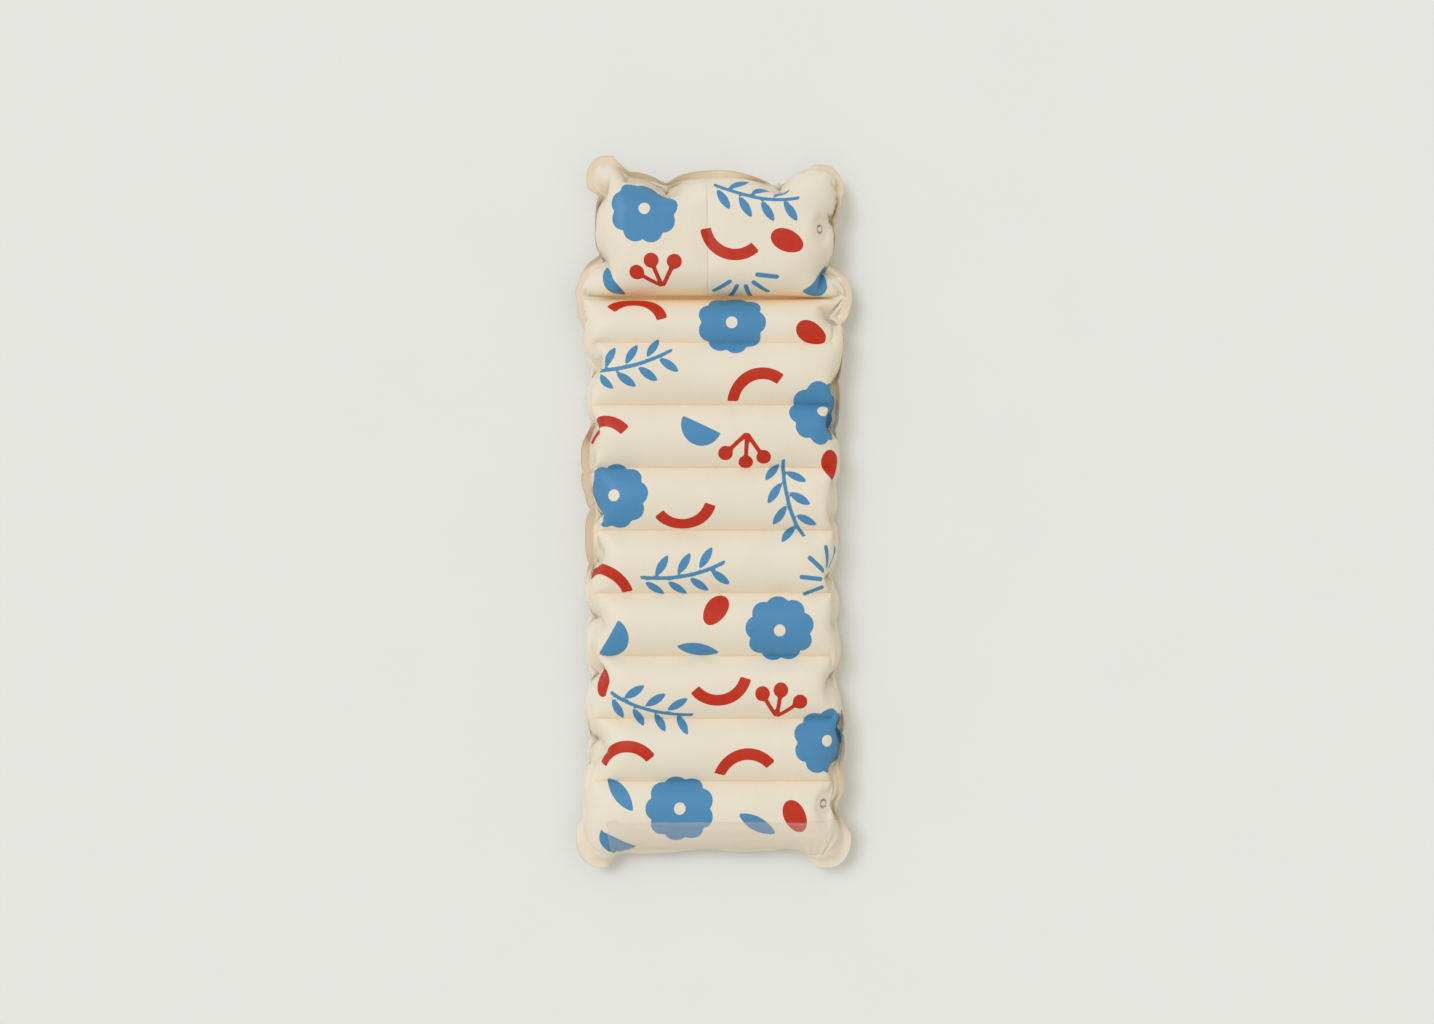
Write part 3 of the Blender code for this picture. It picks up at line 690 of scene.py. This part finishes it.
def calmed(sheet, points):
    """Smooth the few places where the sheet folded over itself."""
    for _ in range(CALM_PASSES):
        normals = outward(points)
        around = beside(beside(normals, 2), 1)
        around /= np.linalg.norm(around, axis=-1, keepdims=True) + 1e-12
        folded = np.sum(normals * around, axis=-1, keepdims=True) < CALM_TURN
        share = np.clip(beside(beside(folded.astype(float), 2), 2) * CALM_SPREAD, 0, CALM_SHARE)
        for _ in range(CALM_ROUNDS):
            points = points + share * (beside(points) - points)
        points[:, sheet.joined] = points[:, sheet.joined].mean(axis=0)
    return points


def inflate():
    """The finest cut sheet, and its two layers as they lie when the air is in."""
    points = CutSheet(1).start_shape()
    for finer, *stage in STAGES:
        sheet = CutSheet(finer)
        points = points if finer == 1 else refined(points)
        points = Inflation(sheet, points).run(*stage)
    return sheet, calmed(sheet, points)


def open_hole(places, flat, seat):
    """Lay the grid round a valve as circles, and say which points ring the hole and which are cut out."""
    row, column = seat.nearest(places[0])
    centre = seat.centre + seat.out * SHEET
    origin, origin_flat = places[0, row, column].copy(), flat[row, column].copy()
    for half, radius in ((3, RING_RADIUS), (2, HOLE_RADIUS)):
        steps = range(-half, half)
        square = [(-half, n) for n in steps] + [(n, half) for n in steps]
        square += [(half, -n) for n in steps] + [(-n, -half) for n in steps]
        ring = [(row + up, column + across) for up, across in square]
        for n, at in enumerate(ring):
            turn = 2 * np.pi * n / len(ring) - 0.75 * np.pi
            places[0][at] = centre + radius * (np.sin(turn) * seat.along + np.cos(turn) * seat.down)
            off = places[0][at] - origin
            flat[at] = origin_flat + (off @ seat.down, off @ seat.along)
    return ring, (slice(row - 2, row + 2), slice(column - 2, column + 2))


def lines_beside(count, lines):
    """Grid lines with two more close beside each weld or seam, which keeps its edge crisp."""
    pairs = [line + off for line in lines for off in (-LINE_BESIDE, LINE_BESIDE)]
    return np.sort(np.concatenate([np.arange(count), pairs]))


def sampled(points, rows, columns):
    """Places between the grid points of one sheet."""
    low_row = np.clip(np.floor(rows).astype(int), 0, points.shape[0] - 2)
    low_column = np.clip(np.floor(columns).astype(int), 0, points.shape[1] - 2)
    down = (rows - low_row)[..., None]
    along = (columns - low_column)[..., None]
    near = points[low_row, low_column] * (1 - along) + points[low_row, low_column + 1] * along
    far = points[low_row + 1, low_column] * (1 - along) + points[low_row + 1, low_column + 1] * along
    return near * (1 - down) + far * down


def both_sides(number):
    """Faces of a closed sheet from its points' numbers: upper cells, lower cells, and the rim."""
    count = number.size
    upper = np.stack([number[:-1, :-1], number[:-1, 1:], number[1:, 1:], number[1:, :-1]], axis=-1)
    lower = upper.reshape(-1, 4)[:, ::-1] + count
    edge = edge_of(number)
    after = np.roll(edge, -1)
    return upper, lower, np.stack([after, after + count, edge + count, edge], axis=-1)


def cut_mesh(name, places, faces, flat):
    """A mesh with the flat places of the cut sheet as its UV map."""
    mesh = bpy.data.meshes.new(name)
    mesh.from_pydata(places.tolist(), [], faces)
    corners = np.empty(len(mesh.loops), np.int32)
    mesh.loops.foreach_get("vertex_index", corners)
    mesh.uv_layers.new(name="cut").data.foreach_set("uv", flat[corners].astype(np.float32).ravel())
    return mesh


def write_values(mesh, name, values, rest=0.0):
    """A value at each point of a mesh, and one value for the points that come after those."""
    values = np.append(values, np.full(len(mesh.vertices) - len(values), rest))
    mesh.attributes.new(name, "FLOAT", "POINT").data.foreach_set("value", values.astype(np.float32))


def skin_mesh(sheet, points):
    """A closed mesh of both sheets, with a well under the hole for each valve."""
    rows_at = lines_beside(len(sheet.along), sheet.lines)
    columns_at = lines_beside(len(sheet.across), [sheet.left_weld, sheet.right_weld])
    row_at, column_at = np.meshgrid(rows_at, columns_at, indexing="ij")
    points = np.stack([sampled(layer, row_at, column_at) for layer in points])
    flat = sampled(sheet.flat, row_at, column_at)
    places = points + outward(points) * SHEET
    count = row_at.size
    number = np.arange(count).reshape(row_at.shape)
    upper, lower, rim = both_sides(number)
    kept = np.ones(upper.shape[:2], bool)
    wells, well_faces = [], []
    for seat in SEATS:
        ring, inside = open_hole(places, flat, seat)
        kept[inside] = False
        before = [int(number[at]) for at in ring]
        for depth in WELL_DEPTHS:
            first = 2 * count + len(wells)
            wells += [places[0][at] - seat.out * depth for at in ring]
            below = list(range(first, first + len(ring)))
            corners = zip(before, before[1:] + before[:1], below[1:] + below[:1], below)
            well_faces += corners
            before = below
        well_faces.append(tuple(below))
    upper = upper[kept]
    faces = np.concatenate([upper, lower, rim]).tolist() + well_faces
    upper_flat = flat.reshape(-1, 2)
    flat = np.concatenate([upper_flat, upper_flat, np.zeros((len(wells), 2))])
    mesh = cut_mesh("mattress_skin", np.concatenate([places.reshape(-1, 3), wells]), faces, flat)
    kinds = np.ones(len(faces), np.int32)
    kinds[: len(upper)] = 0
    mesh.polygons.foreach_set("material_index", kinds)
    for name, distance in print_distances(upper_flat).items():
        write_values(mesh, name, distance, rest=1.0)
    write_values(mesh, "gather", np.tile(gathers(sheet, upper_flat), 2))
    beyond = np.maximum(sheet.left_weld - column_at, column_at - sheet.right_weld)
    beyond = np.maximum(beyond, np.maximum(sheet.foot_weld - row_at, row_at - sheet.head_weld))
    write_values(mesh, "flange", np.tile(np.clip(beyond, 0, 1).ravel(), 2))
    return mesh


def gathers(sheet, flat):
    """How crumpled each place of the sheet is: 1 along the side welds and seam ends, 0 in the open."""
    u, v = flat.T
    side = np.clip((np.abs(u) - SIDE_GATHER_FROM) / SIDE_GATHER_FADE, 0, 1)
    side *= np.clip((FLAT_HALF - np.abs(u)) / EDGE_GATHER_FADE, 0, 1)
    nearest = np.abs(v[:, None] - sheet.along[sheet.lines]).min(axis=-1)
    seam = SEAM_GATHER * np.clip(1 - nearest / SEAM_GATHER_REACH, 0, 1)
    middle = MIDDLE_GATHER * np.clip(1 - np.abs(u - PILLOW_SEAM_U) / MIDDLE_GATHER_REACH, 0, 1)
    return np.maximum(np.maximum(side, seam), middle * (v > sheet.along[sheet.fold_end]))


def film_mesh(sheet, points):
    """The clear film over the foot end: a thin closed sheet with round corners, laid on the skin."""
    half_width, half_height = FILM_WIDTH / 2, FILM_HEIGHT / 2
    sides = zip((FILM_WIDTH, FILM_HEIGHT), FILM_GRID)
    across, up = np.meshgrid(*[np.linspace(0, side, count) for side, count in sides])
    beyond_side = np.abs(across - half_width) - (half_width - FILM_CORNER)
    beyond_end = np.abs(up - half_height) - (half_height - FILM_CORNER)
    side_in, end_in = round_in(beyond_side, beyond_end, np.maximum(beyond_side, beyond_end))
    across = across - np.sign(across - half_width) * side_in
    up = up - np.sign(up - half_height) * end_in
    foot = sheet.along[sheet.foot_weld] + FILM_FROM
    rows = np.interp(up + foot, sheet.along, np.arange(len(sheet.along)))
    columns = np.interp(across + FILM_LEFT, sheet.across, np.arange(len(sheet.across)))
    out = sampled(outward(points)[0], rows, columns)
    out /= np.linalg.norm(out, axis=-1, keepdims=True)
    under = sampled(points[0], rows, columns) + out * (SHEET + FILM_ABOVE)
    upper, lower, rim = both_sides(np.arange(across.size).reshape(across.shape))
    faces = np.concatenate([upper.reshape(-1, 4), lower, rim]).tolist()
    places = np.stack([under + out * FILM_SHEET, under]).reshape(-1, 3)
    flat = np.tile(np.stack([across, up], axis=-1).reshape(-1, 2), (2, 1))
    return cut_mesh("foot_film", places, faces, flat)


def finished(name, mesh):
    """An object of one smooth mesh, at the origin."""
    mesh.shade_smooth()
    return in_scene(name, mesh)


def in_scene(name, data):
    """A new object in the scene."""
    made = bpy.data.objects.new(name, data)
    bpy.context.scene.collection.objects.link(made)
    return made


# The print, as distances on the flat sheet: below 0 inside a motif


def seen_from(x, y, place, turn):
    """Flat places seen from a motif that lies at place, turned by an angle in degrees."""
    angle = math.radians(turn)
    x, y = x - place[0], y - place[1]
    return x * math.cos(angle) + y * math.sin(angle), -x * math.sin(angle) + y * math.cos(angle)


def flower(x, y, size=0.086, petals=9):
    """Round petals round a middle, with a bare eye."""
    step = 2 * np.pi / petals
    nearest = np.round(np.arctan2(y, x) / step) * step
    petal = np.hypot(x - np.cos(nearest) * size * 0.66, y - np.sin(nearest) * size * 0.66) - size * 0.34
    away = np.hypot(x, y)
    return np.maximum(np.minimum(petal, away - size * 0.62), size * 0.17 - away)


def arch(x, y, size=0.074, width=0.028, half_turn=62):
    """A thick bow with square ends."""
    y = y + size * 0.7
    around = np.abs(np.arctan2(x, y))
    return np.maximum(np.abs(np.hypot(x, y) - size) - width / 2, (around - math.radians(half_turn)) * size)


def leaf(x, y, length=0.11, width=0.036):
    """Two bows that meet in points."""
    radius = ((length / 2) ** 2 + (width / 2) ** 2) / width
    return np.hypot(np.abs(x) + (radius - width / 2), y) - radius


def stick(x, y, length=0.09, width=0.009):
    """A straight stroke with round ends."""
    return np.hypot(x, np.maximum(np.abs(y) - (length - width) / 2, 0)) - width / 2


def pebble(x, y, length=0.084, width=0.054):
    """An egg-like spot."""
    wide = width / 2 * (1 + 0.16 * y / length)
    return (np.hypot(x / wide, y / (length / 2)) - 1) * width / 2


def half_moon(x, y, size=0.052):
    """Half a disc, with its straight side up."""
    return np.maximum(np.hypot(x, y) - size, y)


def sprig(x, y):
    """A bowed stem with leaves on both sides."""
    parts = [np.maximum(np.abs(y - 1.4 * x**2) - 0.0048, np.abs(x) - 0.108)]
    for n in range(7):
        at = -0.084 + 0.028 * n
        side = 1 if n % 2 else -1
        place = (at + 0.006, 1.4 * at**2 + side * 0.030)
        parts.append(leaf(*seen_from(x, y, place, -90 + side * 48), 0.062, 0.021))
    return np.minimum.reduce(parts)


def spoke(turn, reach):
    """The end of a stroke that leaves the foot of a motif at an angle in degrees."""
    angle = math.radians(turn)
    return -reach * math.sin(angle), reach * math.cos(angle) - 0.04


def rays(x, y):
    """Short strokes that spread from one point."""
    turns = (-68, -34, 0, 34, 68)
    parts = [stick(*seen_from(x, y, spoke(turn, 0.062), turn), 0.060, 0.0115) for turn in turns]
    return np.minimum.reduce(parts)


def berries(x, y):
    """Three round berries on stems that meet."""
    parts = []
    for turn in (-44, 2, 40):
        tip = spoke(turn, 0.072)
        parts.append(np.hypot(x - tip[0], y - tip[1]) - 0.0185)
        parts.append(stick(*seen_from(x, y, spoke(turn, 0.036), turn), 0.072, 0.0105))
    return np.minimum.reduce(parts)


# Each motif of the print, as its shape, its place across and along the cut sheet in mm, and its turn
PRINTS = {
    "blue_print": [
        (flower, -175, 1815, 10), (sprig, 105, 1845, -10), (half_moon, 262, 1640, 35),
        (leaf, -262, 1622, 50), (flower, 45, 1452, 0), (sprig, -205, 1335, 14), (flower, 275, 1215, 24),
        (half_moon, -30, 1180, -25), (sprig, 185, 985, -76), (flower, -250, 995, 5), (rays, 275, 800, 50),
        (sprig, -75, 785, 10), (flower, 165, 640, 14), (half_moon, -265, 620, 60), (leaf, -40, 590, 80),
        (sprig, -160, 430, -16), (flower, 285, 345, 3), (flower, -85, 168, 20), (leaf, 110, 130, 62),
        (leaf, -235, 205, 38), (rays, 80, 1622, -165), (half_moon, -240, 90, -35),
    ],
    "red_print": [
        (arch, 35, 1730, 160), (berries, -140, 1660, 20), (arch, -190, 1490, -12), (pebble, 245, 1425, 60),
        (arch, 100, 1290, 25), (berries, 80, 1118, 176), (arch, -290, 1165, 14), (arch, -70, 945, 190),
        (pebble, 5, 690, -35), (pebble, 300, 1075, 20), (arch, -275, 775, -16), (arch, 20, 480, -168),
        (berries, 165, 450, -10), (pebble, -290, 500, 15), (arch, -225, 308, 10), (arch, 75, 290, 12),
        (pebble, 205, 150, 30), (pebble, 180, 1738, 65),
    ],
}
PRINT_GAP = 0.010


def print_distances(flat):
    """How far each flat place is from the blue and from the red print, which keep apart."""
    found = {}
    for name, motifs in PRINTS.items():
        parts = [
            shape(*seen_from(*flat.T, (across / 1000, along / 1000), turn))
            for shape, across, along, turn in motifs
        ]
        found[name] = np.minimum(np.minimum.reduce(parts), 1.0)
    found["red_print"] = np.maximum(found["red_print"], PRINT_GAP - found["blue_print"])
    return found


# Colours
CREAM = (0.782, 0.716, 0.581)
INKS = {"blue_print": (0.064, 0.243, 0.456), "red_print": (0.505, 0.021, 0.002)}
SEAM_SHADE = (0.78, 0.68, 0.58)
# Painted shade on the flange, with the warm cast of light shining through its thin vinyl
FLANGE_PAINTED_SHADE = (0.98, 0.88, 0.79)
# Painted warm bounce light in the shade beside each seam
SEAM_PAINTED_BOUNCE = (1.045, 1.0, 0.95)
# Painted warm bounce light in the shade of the fold between pillow and body
FOLD_PAINTED_BOUNCE = (1.18, 0.99, 0.78)
WEB_WHITE = (0.82, 0.80, 0.74)
CLEAR = (0.83, 0.79, 0.71)
CLEAR_FILM = (0.84, 0.74, 0.66), (0.90, 0.80, 0.72)
FLOOR = (0.785, 0.80, 0.772)
DAYLIGHT = (1, 0.95, 0.865)
SUNLIGHT = (1.0, 1.105, 1.30)

# The stage
DAYLIGHT_STRENGTH = 0.745
SUN_POWER = 0.30 * math.pi
SUN_ANGLE = math.radians(28)
SUN_FALLS = (0.50, -0.42, -1.0)
LENS = 43.7
CAMERA_AT = (0.008, 0, 4.5)
FLOOR_HALF = 8

# From where to where each mark beside a seam or fold fades out on the flat sheet: the pressed bands, the
# painted shade lines, the painted warm bounce light beside the seams and in the fold, and the film's weld
PRESSED = (0.0035, 0.0046)
SEAM_LINE = (0.0006, 0.0016)
PILLOW_LINE = (0.0008, 0.0020)
SEAM_GLOWS = (0.009, 0.027)
FOLD_GLOWS = (0.022, 0.080)
FOLD_GLOWS_ACROSS = (0.22, 0.33)
PILLOW_LINE_ENDS = (PILLOW_LINE_HALF - 0.02, PILLOW_LINE_HALF)
FILM_WELD = (0.0012, 0.0020)
FILM_WELD_IN = 0.004

# The seams counted from the foot, how far their web marks run (pressed bands and painted shade lines), and
# the ribs of the flange
MIDDLE_SEAM = 3.5
SEAMS_REACH = 3.6
WEB_MARK_HALF = WEB_HALF + 0.006
RIB_PITCH = 0.0035
RIB_DEPTH = 0.12
FLANGE_PRESSED = 0.6


def put(value, socket):
    """Link a wire to a socket, or give the socket a value of its own."""
    if isinstance(value, Wire):
        socket.id_data.links.new(value.socket, socket)
    else:
        socket.default_value = (*value, 1) if socket.type == "RGBA" else value


def node(tree, kind, inputs, **settings):
    """A new shader node, with its inputs by name or number."""
    made = tree.nodes.new(f"ShaderNode{kind}")
    for key, value in settings.items():
        setattr(made, key, value)
    for key, value in inputs.items():
        put(value, made.inputs[key])
    return made


class Wire:
    """The output of a shader node. Sums of it, and its methods, make the nodes that come after it."""

    def __init__(self, socket):
        self.socket = socket

    def into(self, kind, inputs, output=0, **settings):
        return Wire(node(self.socket.id_data, kind, inputs, **settings).outputs[output])

    def math(self, operation, *others):
        return self.into("Math", dict(enumerate((self, *others))), operation=operation)

    __add__ = partialmethod(math, "ADD")
    __sub__ = partialmethod(math, "SUBTRACT")
    __mul__ = partialmethod(math, "MULTIPLY")
    __truediv__ = partialmethod(math, "DIVIDE")
    __abs__ = partialmethod(math, "ABSOLUTE")

    def __rsub__(self, other):
        return self * -1 + other

    def noise(self, scale, detail=2.0, roughness=0.5):
        inputs = {"Vector": self, "Scale": scale, "Detail": detail, "Roughness": roughness}
        return self.into("TexNoise", inputs, "Fac")

    def stretched(self, scale):
        return self.into("Mapping", {"Vector": self, "Scale": scale})

    def ramp(self, low, high, to_low=1, to_high=0):
        inputs = dict(enumerate((self, low, high, to_low, to_high)))
        return self.into("MapRange", inputs, clamp=True, interpolation_type="SMOOTHSTEP")

    def mix(self, first, second, blend="MIX"):
        return self.into("Mix", {0: self, 6: first, 7: second}, 2, data_type="RGBA", blend_type=blend)

    def split(self):
        parts = node(self.socket.id_data, "SeparateXYZ", {0: self}).outputs
        return Wire(parts[0]), Wire(parts[1])

    def through(self, group, **values):
        """The outputs of a node group by name; the wire is its first input."""
        made = node(self.socket.id_data, "Group", {0: self, **values}, node_tree=group)
        return {output.name: Wire(output) for output in made.outputs}


def group(make, **inputs):
    """A node group: make turns wires for its inputs into its outputs. None stands for a vector."""
    tree = bpy.data.node_groups.new(make.__name__, "ShaderNodeTree")
    for title, value in inputs.items():
        kind = "NodeSocketVector" if value is None else "NodeSocketFloat"
        socket = tree.interface.new_socket(title, in_out="INPUT", socket_type=kind)
        if value is not None:
            socket.default_value = value
    start = tree.nodes.new("NodeGroupInput")
    found = make(*[Wire(start.outputs[title]) for title in inputs])
    for title in found:
        tree.interface.new_socket(title, in_out="OUTPUT", socket_type="NodeSocketFloat")
    end = tree.nodes.new("NodeGroupOutput")
    for title, value in found.items():
        put(value, end.inputs[title])
    return tree


def vinyl_grain(place, gloss, grain):
    """Soft PVC: a fine pressed grain, faint flow marks and slightly uneven gloss."""
    fine = place.noise(620, 3, 0.6)
    flow = place.noise(9, 3, 0.55)
    smears = place.stretched((30, 7, 12)).noise(1, 4, 0.6)
    uneven = flow.ramp(0.3, 0.7, -0.05, 0.05) + smears.ramp(0.35, 0.75, 0, 0.06)
    tone = (flow + smears * 0.5).ramp(0.45, 1.05, 0, 1)
    return {"Roughness": gloss + uneven, "Height": fine * grain, "Tone": tone}


def crumple(place, gather):
    """Fine creases where the sheet is gathered, across and along."""
    lengthwise = place.stretched((22, 95, 60)).noise(1, 3, 0.55)
    crosswise = place.stretched((80, 20, 60)).noise(1, 2, 0.5)
    return {"Height": (abs(lengthwise - 0.5) + crosswise * 0.45) * gather}


def weld_bumps_and_painted_light(flat, flange):
    """Pressed lines of the seam welds and of the flange, from the flat place on the cut sheet, with the
    masks of painted shade lines along the seams and painted warm bounce light beside them and in the fold.
    """
    across, along = flat.split()
    u = abs(across)
    tubes = (along - (FLANGE + FLAT_FOOT)) / FLAT_TUBE
    off = abs(tubes - tubes.math("ROUND")) * FLAT_TUBE
    in_body = abs(tubes - MIDDLE_SEAM).math("LESS_THAN", SEAMS_REACH)
    on_web = in_body * u.math("LESS_THAN", WEB_MARK_HALF)
    beside_line = abs(across - PILLOW_SEAM_U)
    in_pillow = abs(along - PILLOW_LINE_MIDDLE).ramp(*PILLOW_LINE_ENDS)
    band = off.ramp(*PRESSED) * on_web + beside_line.ramp(*PRESSED) * in_pillow
    # Painted shade: a thin dark line along each seam over the webs and along the pillow's seam
    line = off.ramp(*SEAM_LINE) * on_web + beside_line.ramp(*PILLOW_LINE) * in_pillow
    # Painted warm bounce light near the fold
    fold = abs(along - FOLD_V).ramp(*FOLD_GLOWS) * u.ramp(*FOLD_GLOWS_ACROSS)
    ribs = (u * (2 * math.pi / RIB_PITCH)).math("SINE")
    height = (band + flange * (ribs * RIB_DEPTH + FLANGE_PRESSED)) * -1.0
    # Height is the pressed relief; Line is painted shade; Near and Fold are painted warm bounce light
    return {"Height": height, "Line": line, "Near": off.ramp(*SEAM_GLOWS) * in_body, "Fold": fold}


def ink(distance, place):
    """The edge and the cover of one printed colour, from its distance on the sheet."""
    ragged = place.noise(350, 2).ramp(0.3, 0.7, -0.0002, 0.0002)
    cover = place.noise(60, 4, 0.7).ramp(0.25, 0.6, 0.985, 1.0)
    return {"Mask": (distance + ragged).ramp(-0.0004, 0.0004) * cover}


GRAIN = group(vinyl_grain, Place=None, Gloss=0.45, Grain=0.5)
CRUMPLE = group(crumple, Place=None, Gather=0.0)
WELDS = group(weld_bumps_and_painted_light, Flat=None, Flange=0.0)
INK = group(ink, Distance=1.0, Place=None)


def material(name):
    """A new material, its node tree, and the place on the object."""
    made = bpy.data.materials.new(name)
    made.use_nodes = True
    return made, made.node_tree, Wire(node(made.node_tree, "TexCoord", {}).outputs["Object"])


def finish(made, bumps=(), **looks):
    """Give a material its looks, and bumps one over the other, as height, strength and distance."""
    normal = {}
    for height, strength, distance in bumps:
        bump = {"Height": height, "Strength": strength, "Distance": distance, **normal}
        normal = {"Normal": height.into("Bump", bump)}
    shader = made.node_tree.nodes["Principled BSDF"]
    for key, value in {**looks, **normal}.items():
        put(value, shader.inputs[key.replace("_", " ")])
    return made


def toned(colour, change):
    return tuple(min(1.0, channel * change) for channel in colour)


def attribute(tree, name):
    return Wire(node(tree, "Attribute", {}, attribute_name=name).outputs["Fac"])


def cut_place(tree):
    return Wire(node(tree, "UVMap", {}, uv_map="cut").outputs[0])


def sheet_material(name, printed):
    """The mattress's own PVC, with the print on its upper side, and painted shade and warm bounce light
    along its seams, fold and flange.
    """
    made, tree, place = material(name)
    flat, flange = cut_place(tree), attribute(tree, "flange")
    grain = place.through(GRAIN, Gloss=0.46, Grain=0.5)
    creases = place.through(CRUMPLE, Gather=attribute(tree, "gather"))
    welds = flat.through(WELDS, Flange=flange)
    colour = grain["Tone"].mix(toned(CREAM, 0.985), toned(CREAM, 1.015))
    roughness = grain["Roughness"]
    for print_name, shade in INKS.items() if printed else ():
        mask = attribute(tree, print_name).through(INK, Place=place)["Mask"]
        colour = mask.mix(colour, shade)
        roughness = roughness - mask * 0.04
    # Painted shade on the flange, weaker at the foot end
    thin = flange * flat.split()[1].ramp(0.12, 0.30, 0.25, 1)
    # Painted light on the sheet's colour: warm bounce light beside the seams and in the fold, a dark shade
    # line along the seams, and shade on the flange
    tints = [(welds["Near"], SEAM_PAINTED_BOUNCE), (welds["Fold"], FOLD_PAINTED_BOUNCE)]
    tints += [(welds["Line"] * 0.55, SEAM_SHADE), (thin, FLANGE_PAINTED_SHADE)]
    for share, tint in tints:
        colour = share.mix(colour, tint, blend="MULTIPLY")
    bumps = [(creases["Height"], 0.55, 0.004), (welds["Height"], 0.5, 0.0006)]
    bumps += [(grain["Height"], 0.25, 0.0003)]
    return finish(made, bumps, Base_Color=colour, Roughness=roughness, Specular_IOR_Level=0.3)


def web_material():
    made, _, place = material("web_film_scene")
    grain = place.through(GRAIN, Gloss=0.38, Grain=0.4)
    colour = grain["Tone"].mix(toned(WEB_WHITE, 0.96), WEB_WHITE)
    bumps = [(grain["Height"], 0.3, 0.0003)]
    return finish(made, bumps, Base_Color=colour, Roughness=grain["Roughness"], Specular_IOR_Level=0.5)


def valve_material():
    """Clear soft PVC with a milky cast, cloudier here and there."""
    made, _, place = material("valve_pvc")
    grain = place.through(GRAIN, Gloss=0.24, Grain=0.3)
    colour = place.noise(160, 3).ramp(0.35, 0.7, 0, 1).mix(CLEAR, toned(CLEAR, 0.9))
    clear = {"IOR": 1.46, "Transmission_Weight": 0.12}
    bumps = [(grain["Height"], 0.2, 0.0002)]
    return finish(made, bumps, Base_Color=colour, Roughness=grain["Roughness"], **clear)


def film_material():
    """Clear film: it whitens what lies under it, more where it is welded down along its edge."""
    made, tree, place = material("clear_film_scene")
    across, up = cut_place(tree).split()
    side = FILM_WIDTH / 2 - abs(across - FILM_WIDTH / 2)
    end = FILM_HEIGHT / 2 - abs(up - FILM_HEIGHT / 2)
    welded = abs(side.math("MINIMUM", end) - FILM_WELD_IN).ramp(*FILM_WELD)
    grain = place.through(GRAIN, Gloss=0.26, Grain=0.3)
    ripples = place.stretched((14, 60, 40)).noise(1, 3, 0.5)
    colour = grain["Tone"].mix(*CLEAR_FILM)
    cover = ripples.ramp(0.3, 0.7, 0.075, 0.105) + welded * 0.06
    looks = {"Base_Color": colour, "Roughness": grain["Roughness"], "Alpha": cover}
    return finish(made, [(ripples, 0.4, 0.002), (welded, 0.5, 0.0004)], Specular_IOR_Level=0.6, **looks)


def floor_material():
    """A plain pale floor that keeps the mattress's shadow."""
    made, _, place = material("pale_floor")
    colour = place.noise(3, 3).ramp(0.3, 0.7, 0, 1).mix(toned(FLOOR, 0.995), toned(FLOOR, 1.005))
    roughness = place.noise(40, 2).ramp(0.3, 0.7, 0.86, 0.94)
    return finish(made, Base_Color=colour, Roughness=roughness, Specular_IOR_Level=0.2)


def valve_cup(valve, seat, body):
    """The soft cup round a stem, cut finely along its slope: the real cup turns inside out as the stem is
    pulled.
    """
    shape = bmesh.new()
    shape.from_mesh(bpy.data.objects[f"{valve}_cup"].data)
    bmesh.ops.remove_doubles(shape, verts=shape.verts, dist=1e-6)
    heights = [seat.out @ (np.array(corner.co) - seat.centre) for corner in shape.verts]
    rim = seat.centre + (max(heights) - CUP_RIM) * seat.out
    foot = seat.centre + (min(heights) + CUP_SEAT) * seat.out
    for share in np.linspace(0, 1, CUP_RINGS + 2)[1:-1]:
        every = [*shape.verts, *shape.edges, *shape.faces]
        bmesh.ops.bisect_plane(shape, geom=every, plane_co=rim + share * (foot - rim), plane_no=seat.out)
    mesh = bpy.data.meshes.new(f"{valve}_soft_cup")
    shape.to_mesh(mesh)
    shape.free()
    cup = finished(f"{valve}_soft_cup", mesh)
    mesh.set_sharp_from_angle(angle=math.radians(40))
    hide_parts(f"{valve}_cup")
    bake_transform(cup)
    return cup


def build_stage():
    """A pale floor, a soft lamp from the upper left, and the camera straight above."""
    mesh = bpy.data.meshes.new("floor")
    corners = [(x * FLOOR_HALF, y * FLOOR_HALF, 0) for x, y in ((-1, -1), (1, -1), (1, 1), (-1, 1))]
    mesh.from_pydata(corners, [], [(0, 1, 2, 3)])
    mesh.materials.append(floor_material())
    in_scene("floor", mesh)
    world = bpy.data.worlds.new("studio")
    world.use_nodes = True
    background = world.node_tree.nodes["Background"]
    put(DAYLIGHT, background.inputs["Color"])
    put(DAYLIGHT_STRENGTH, background.inputs["Strength"])
    bpy.context.scene.world = world
    lamp = bpy.data.lights.new("key", "SUN")
    lamp.angle = SUN_ANGLE
    lamp.energy = SUN_POWER
    lamp.color = SUNLIGHT
    holder = in_scene("key", lamp)
    holder.rotation_euler = Vector(SUN_FALLS).to_track_quat("-Z", "Y").to_euler()
    view = bpy.data.cameras.new("camera")
    view.lens = LENS
    camera = in_scene("camera", view)
    camera.location = CAMERA_AT
    bpy.context.scene.camera = camera
    bpy.context.scene.view_settings.view_transform = "Standard"


sheet, points = inflate()
skin = finished("mattress_skin", skin_mesh(sheet, points))
skin.data.materials.append(sheet_material("printed_sheet", True))
skin.data.materials.append(sheet_material("plain_sheet", False))
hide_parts("mattress_top_sheet", "mattress_bottom_sheet", "pillow_top_sheet", "pillow_bottom_sheet")
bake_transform(skin)

film = finished("foot_film", film_mesh(sheet, points))
film.data.materials.append(film_material())
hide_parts("foot_end_film")
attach(film, "mattress")

pvc = valve_material()
for valve, seat, body in zip(("foot_valve", "pillow_valve"), SEATS, ("mattress", "pillow")):
    valve_cup(valve, seat, body).data.materials.append(pvc)
for name, finish_material in (("web", web_material()), ("valve", pvc)):
    for title in sorted(frame["nodes"]):
        thing = bpy.data.objects[title]
        if name in title and not thing.hide_render:
            for slot in thing.material_slots:
                slot.material = finish_material

build_stage()
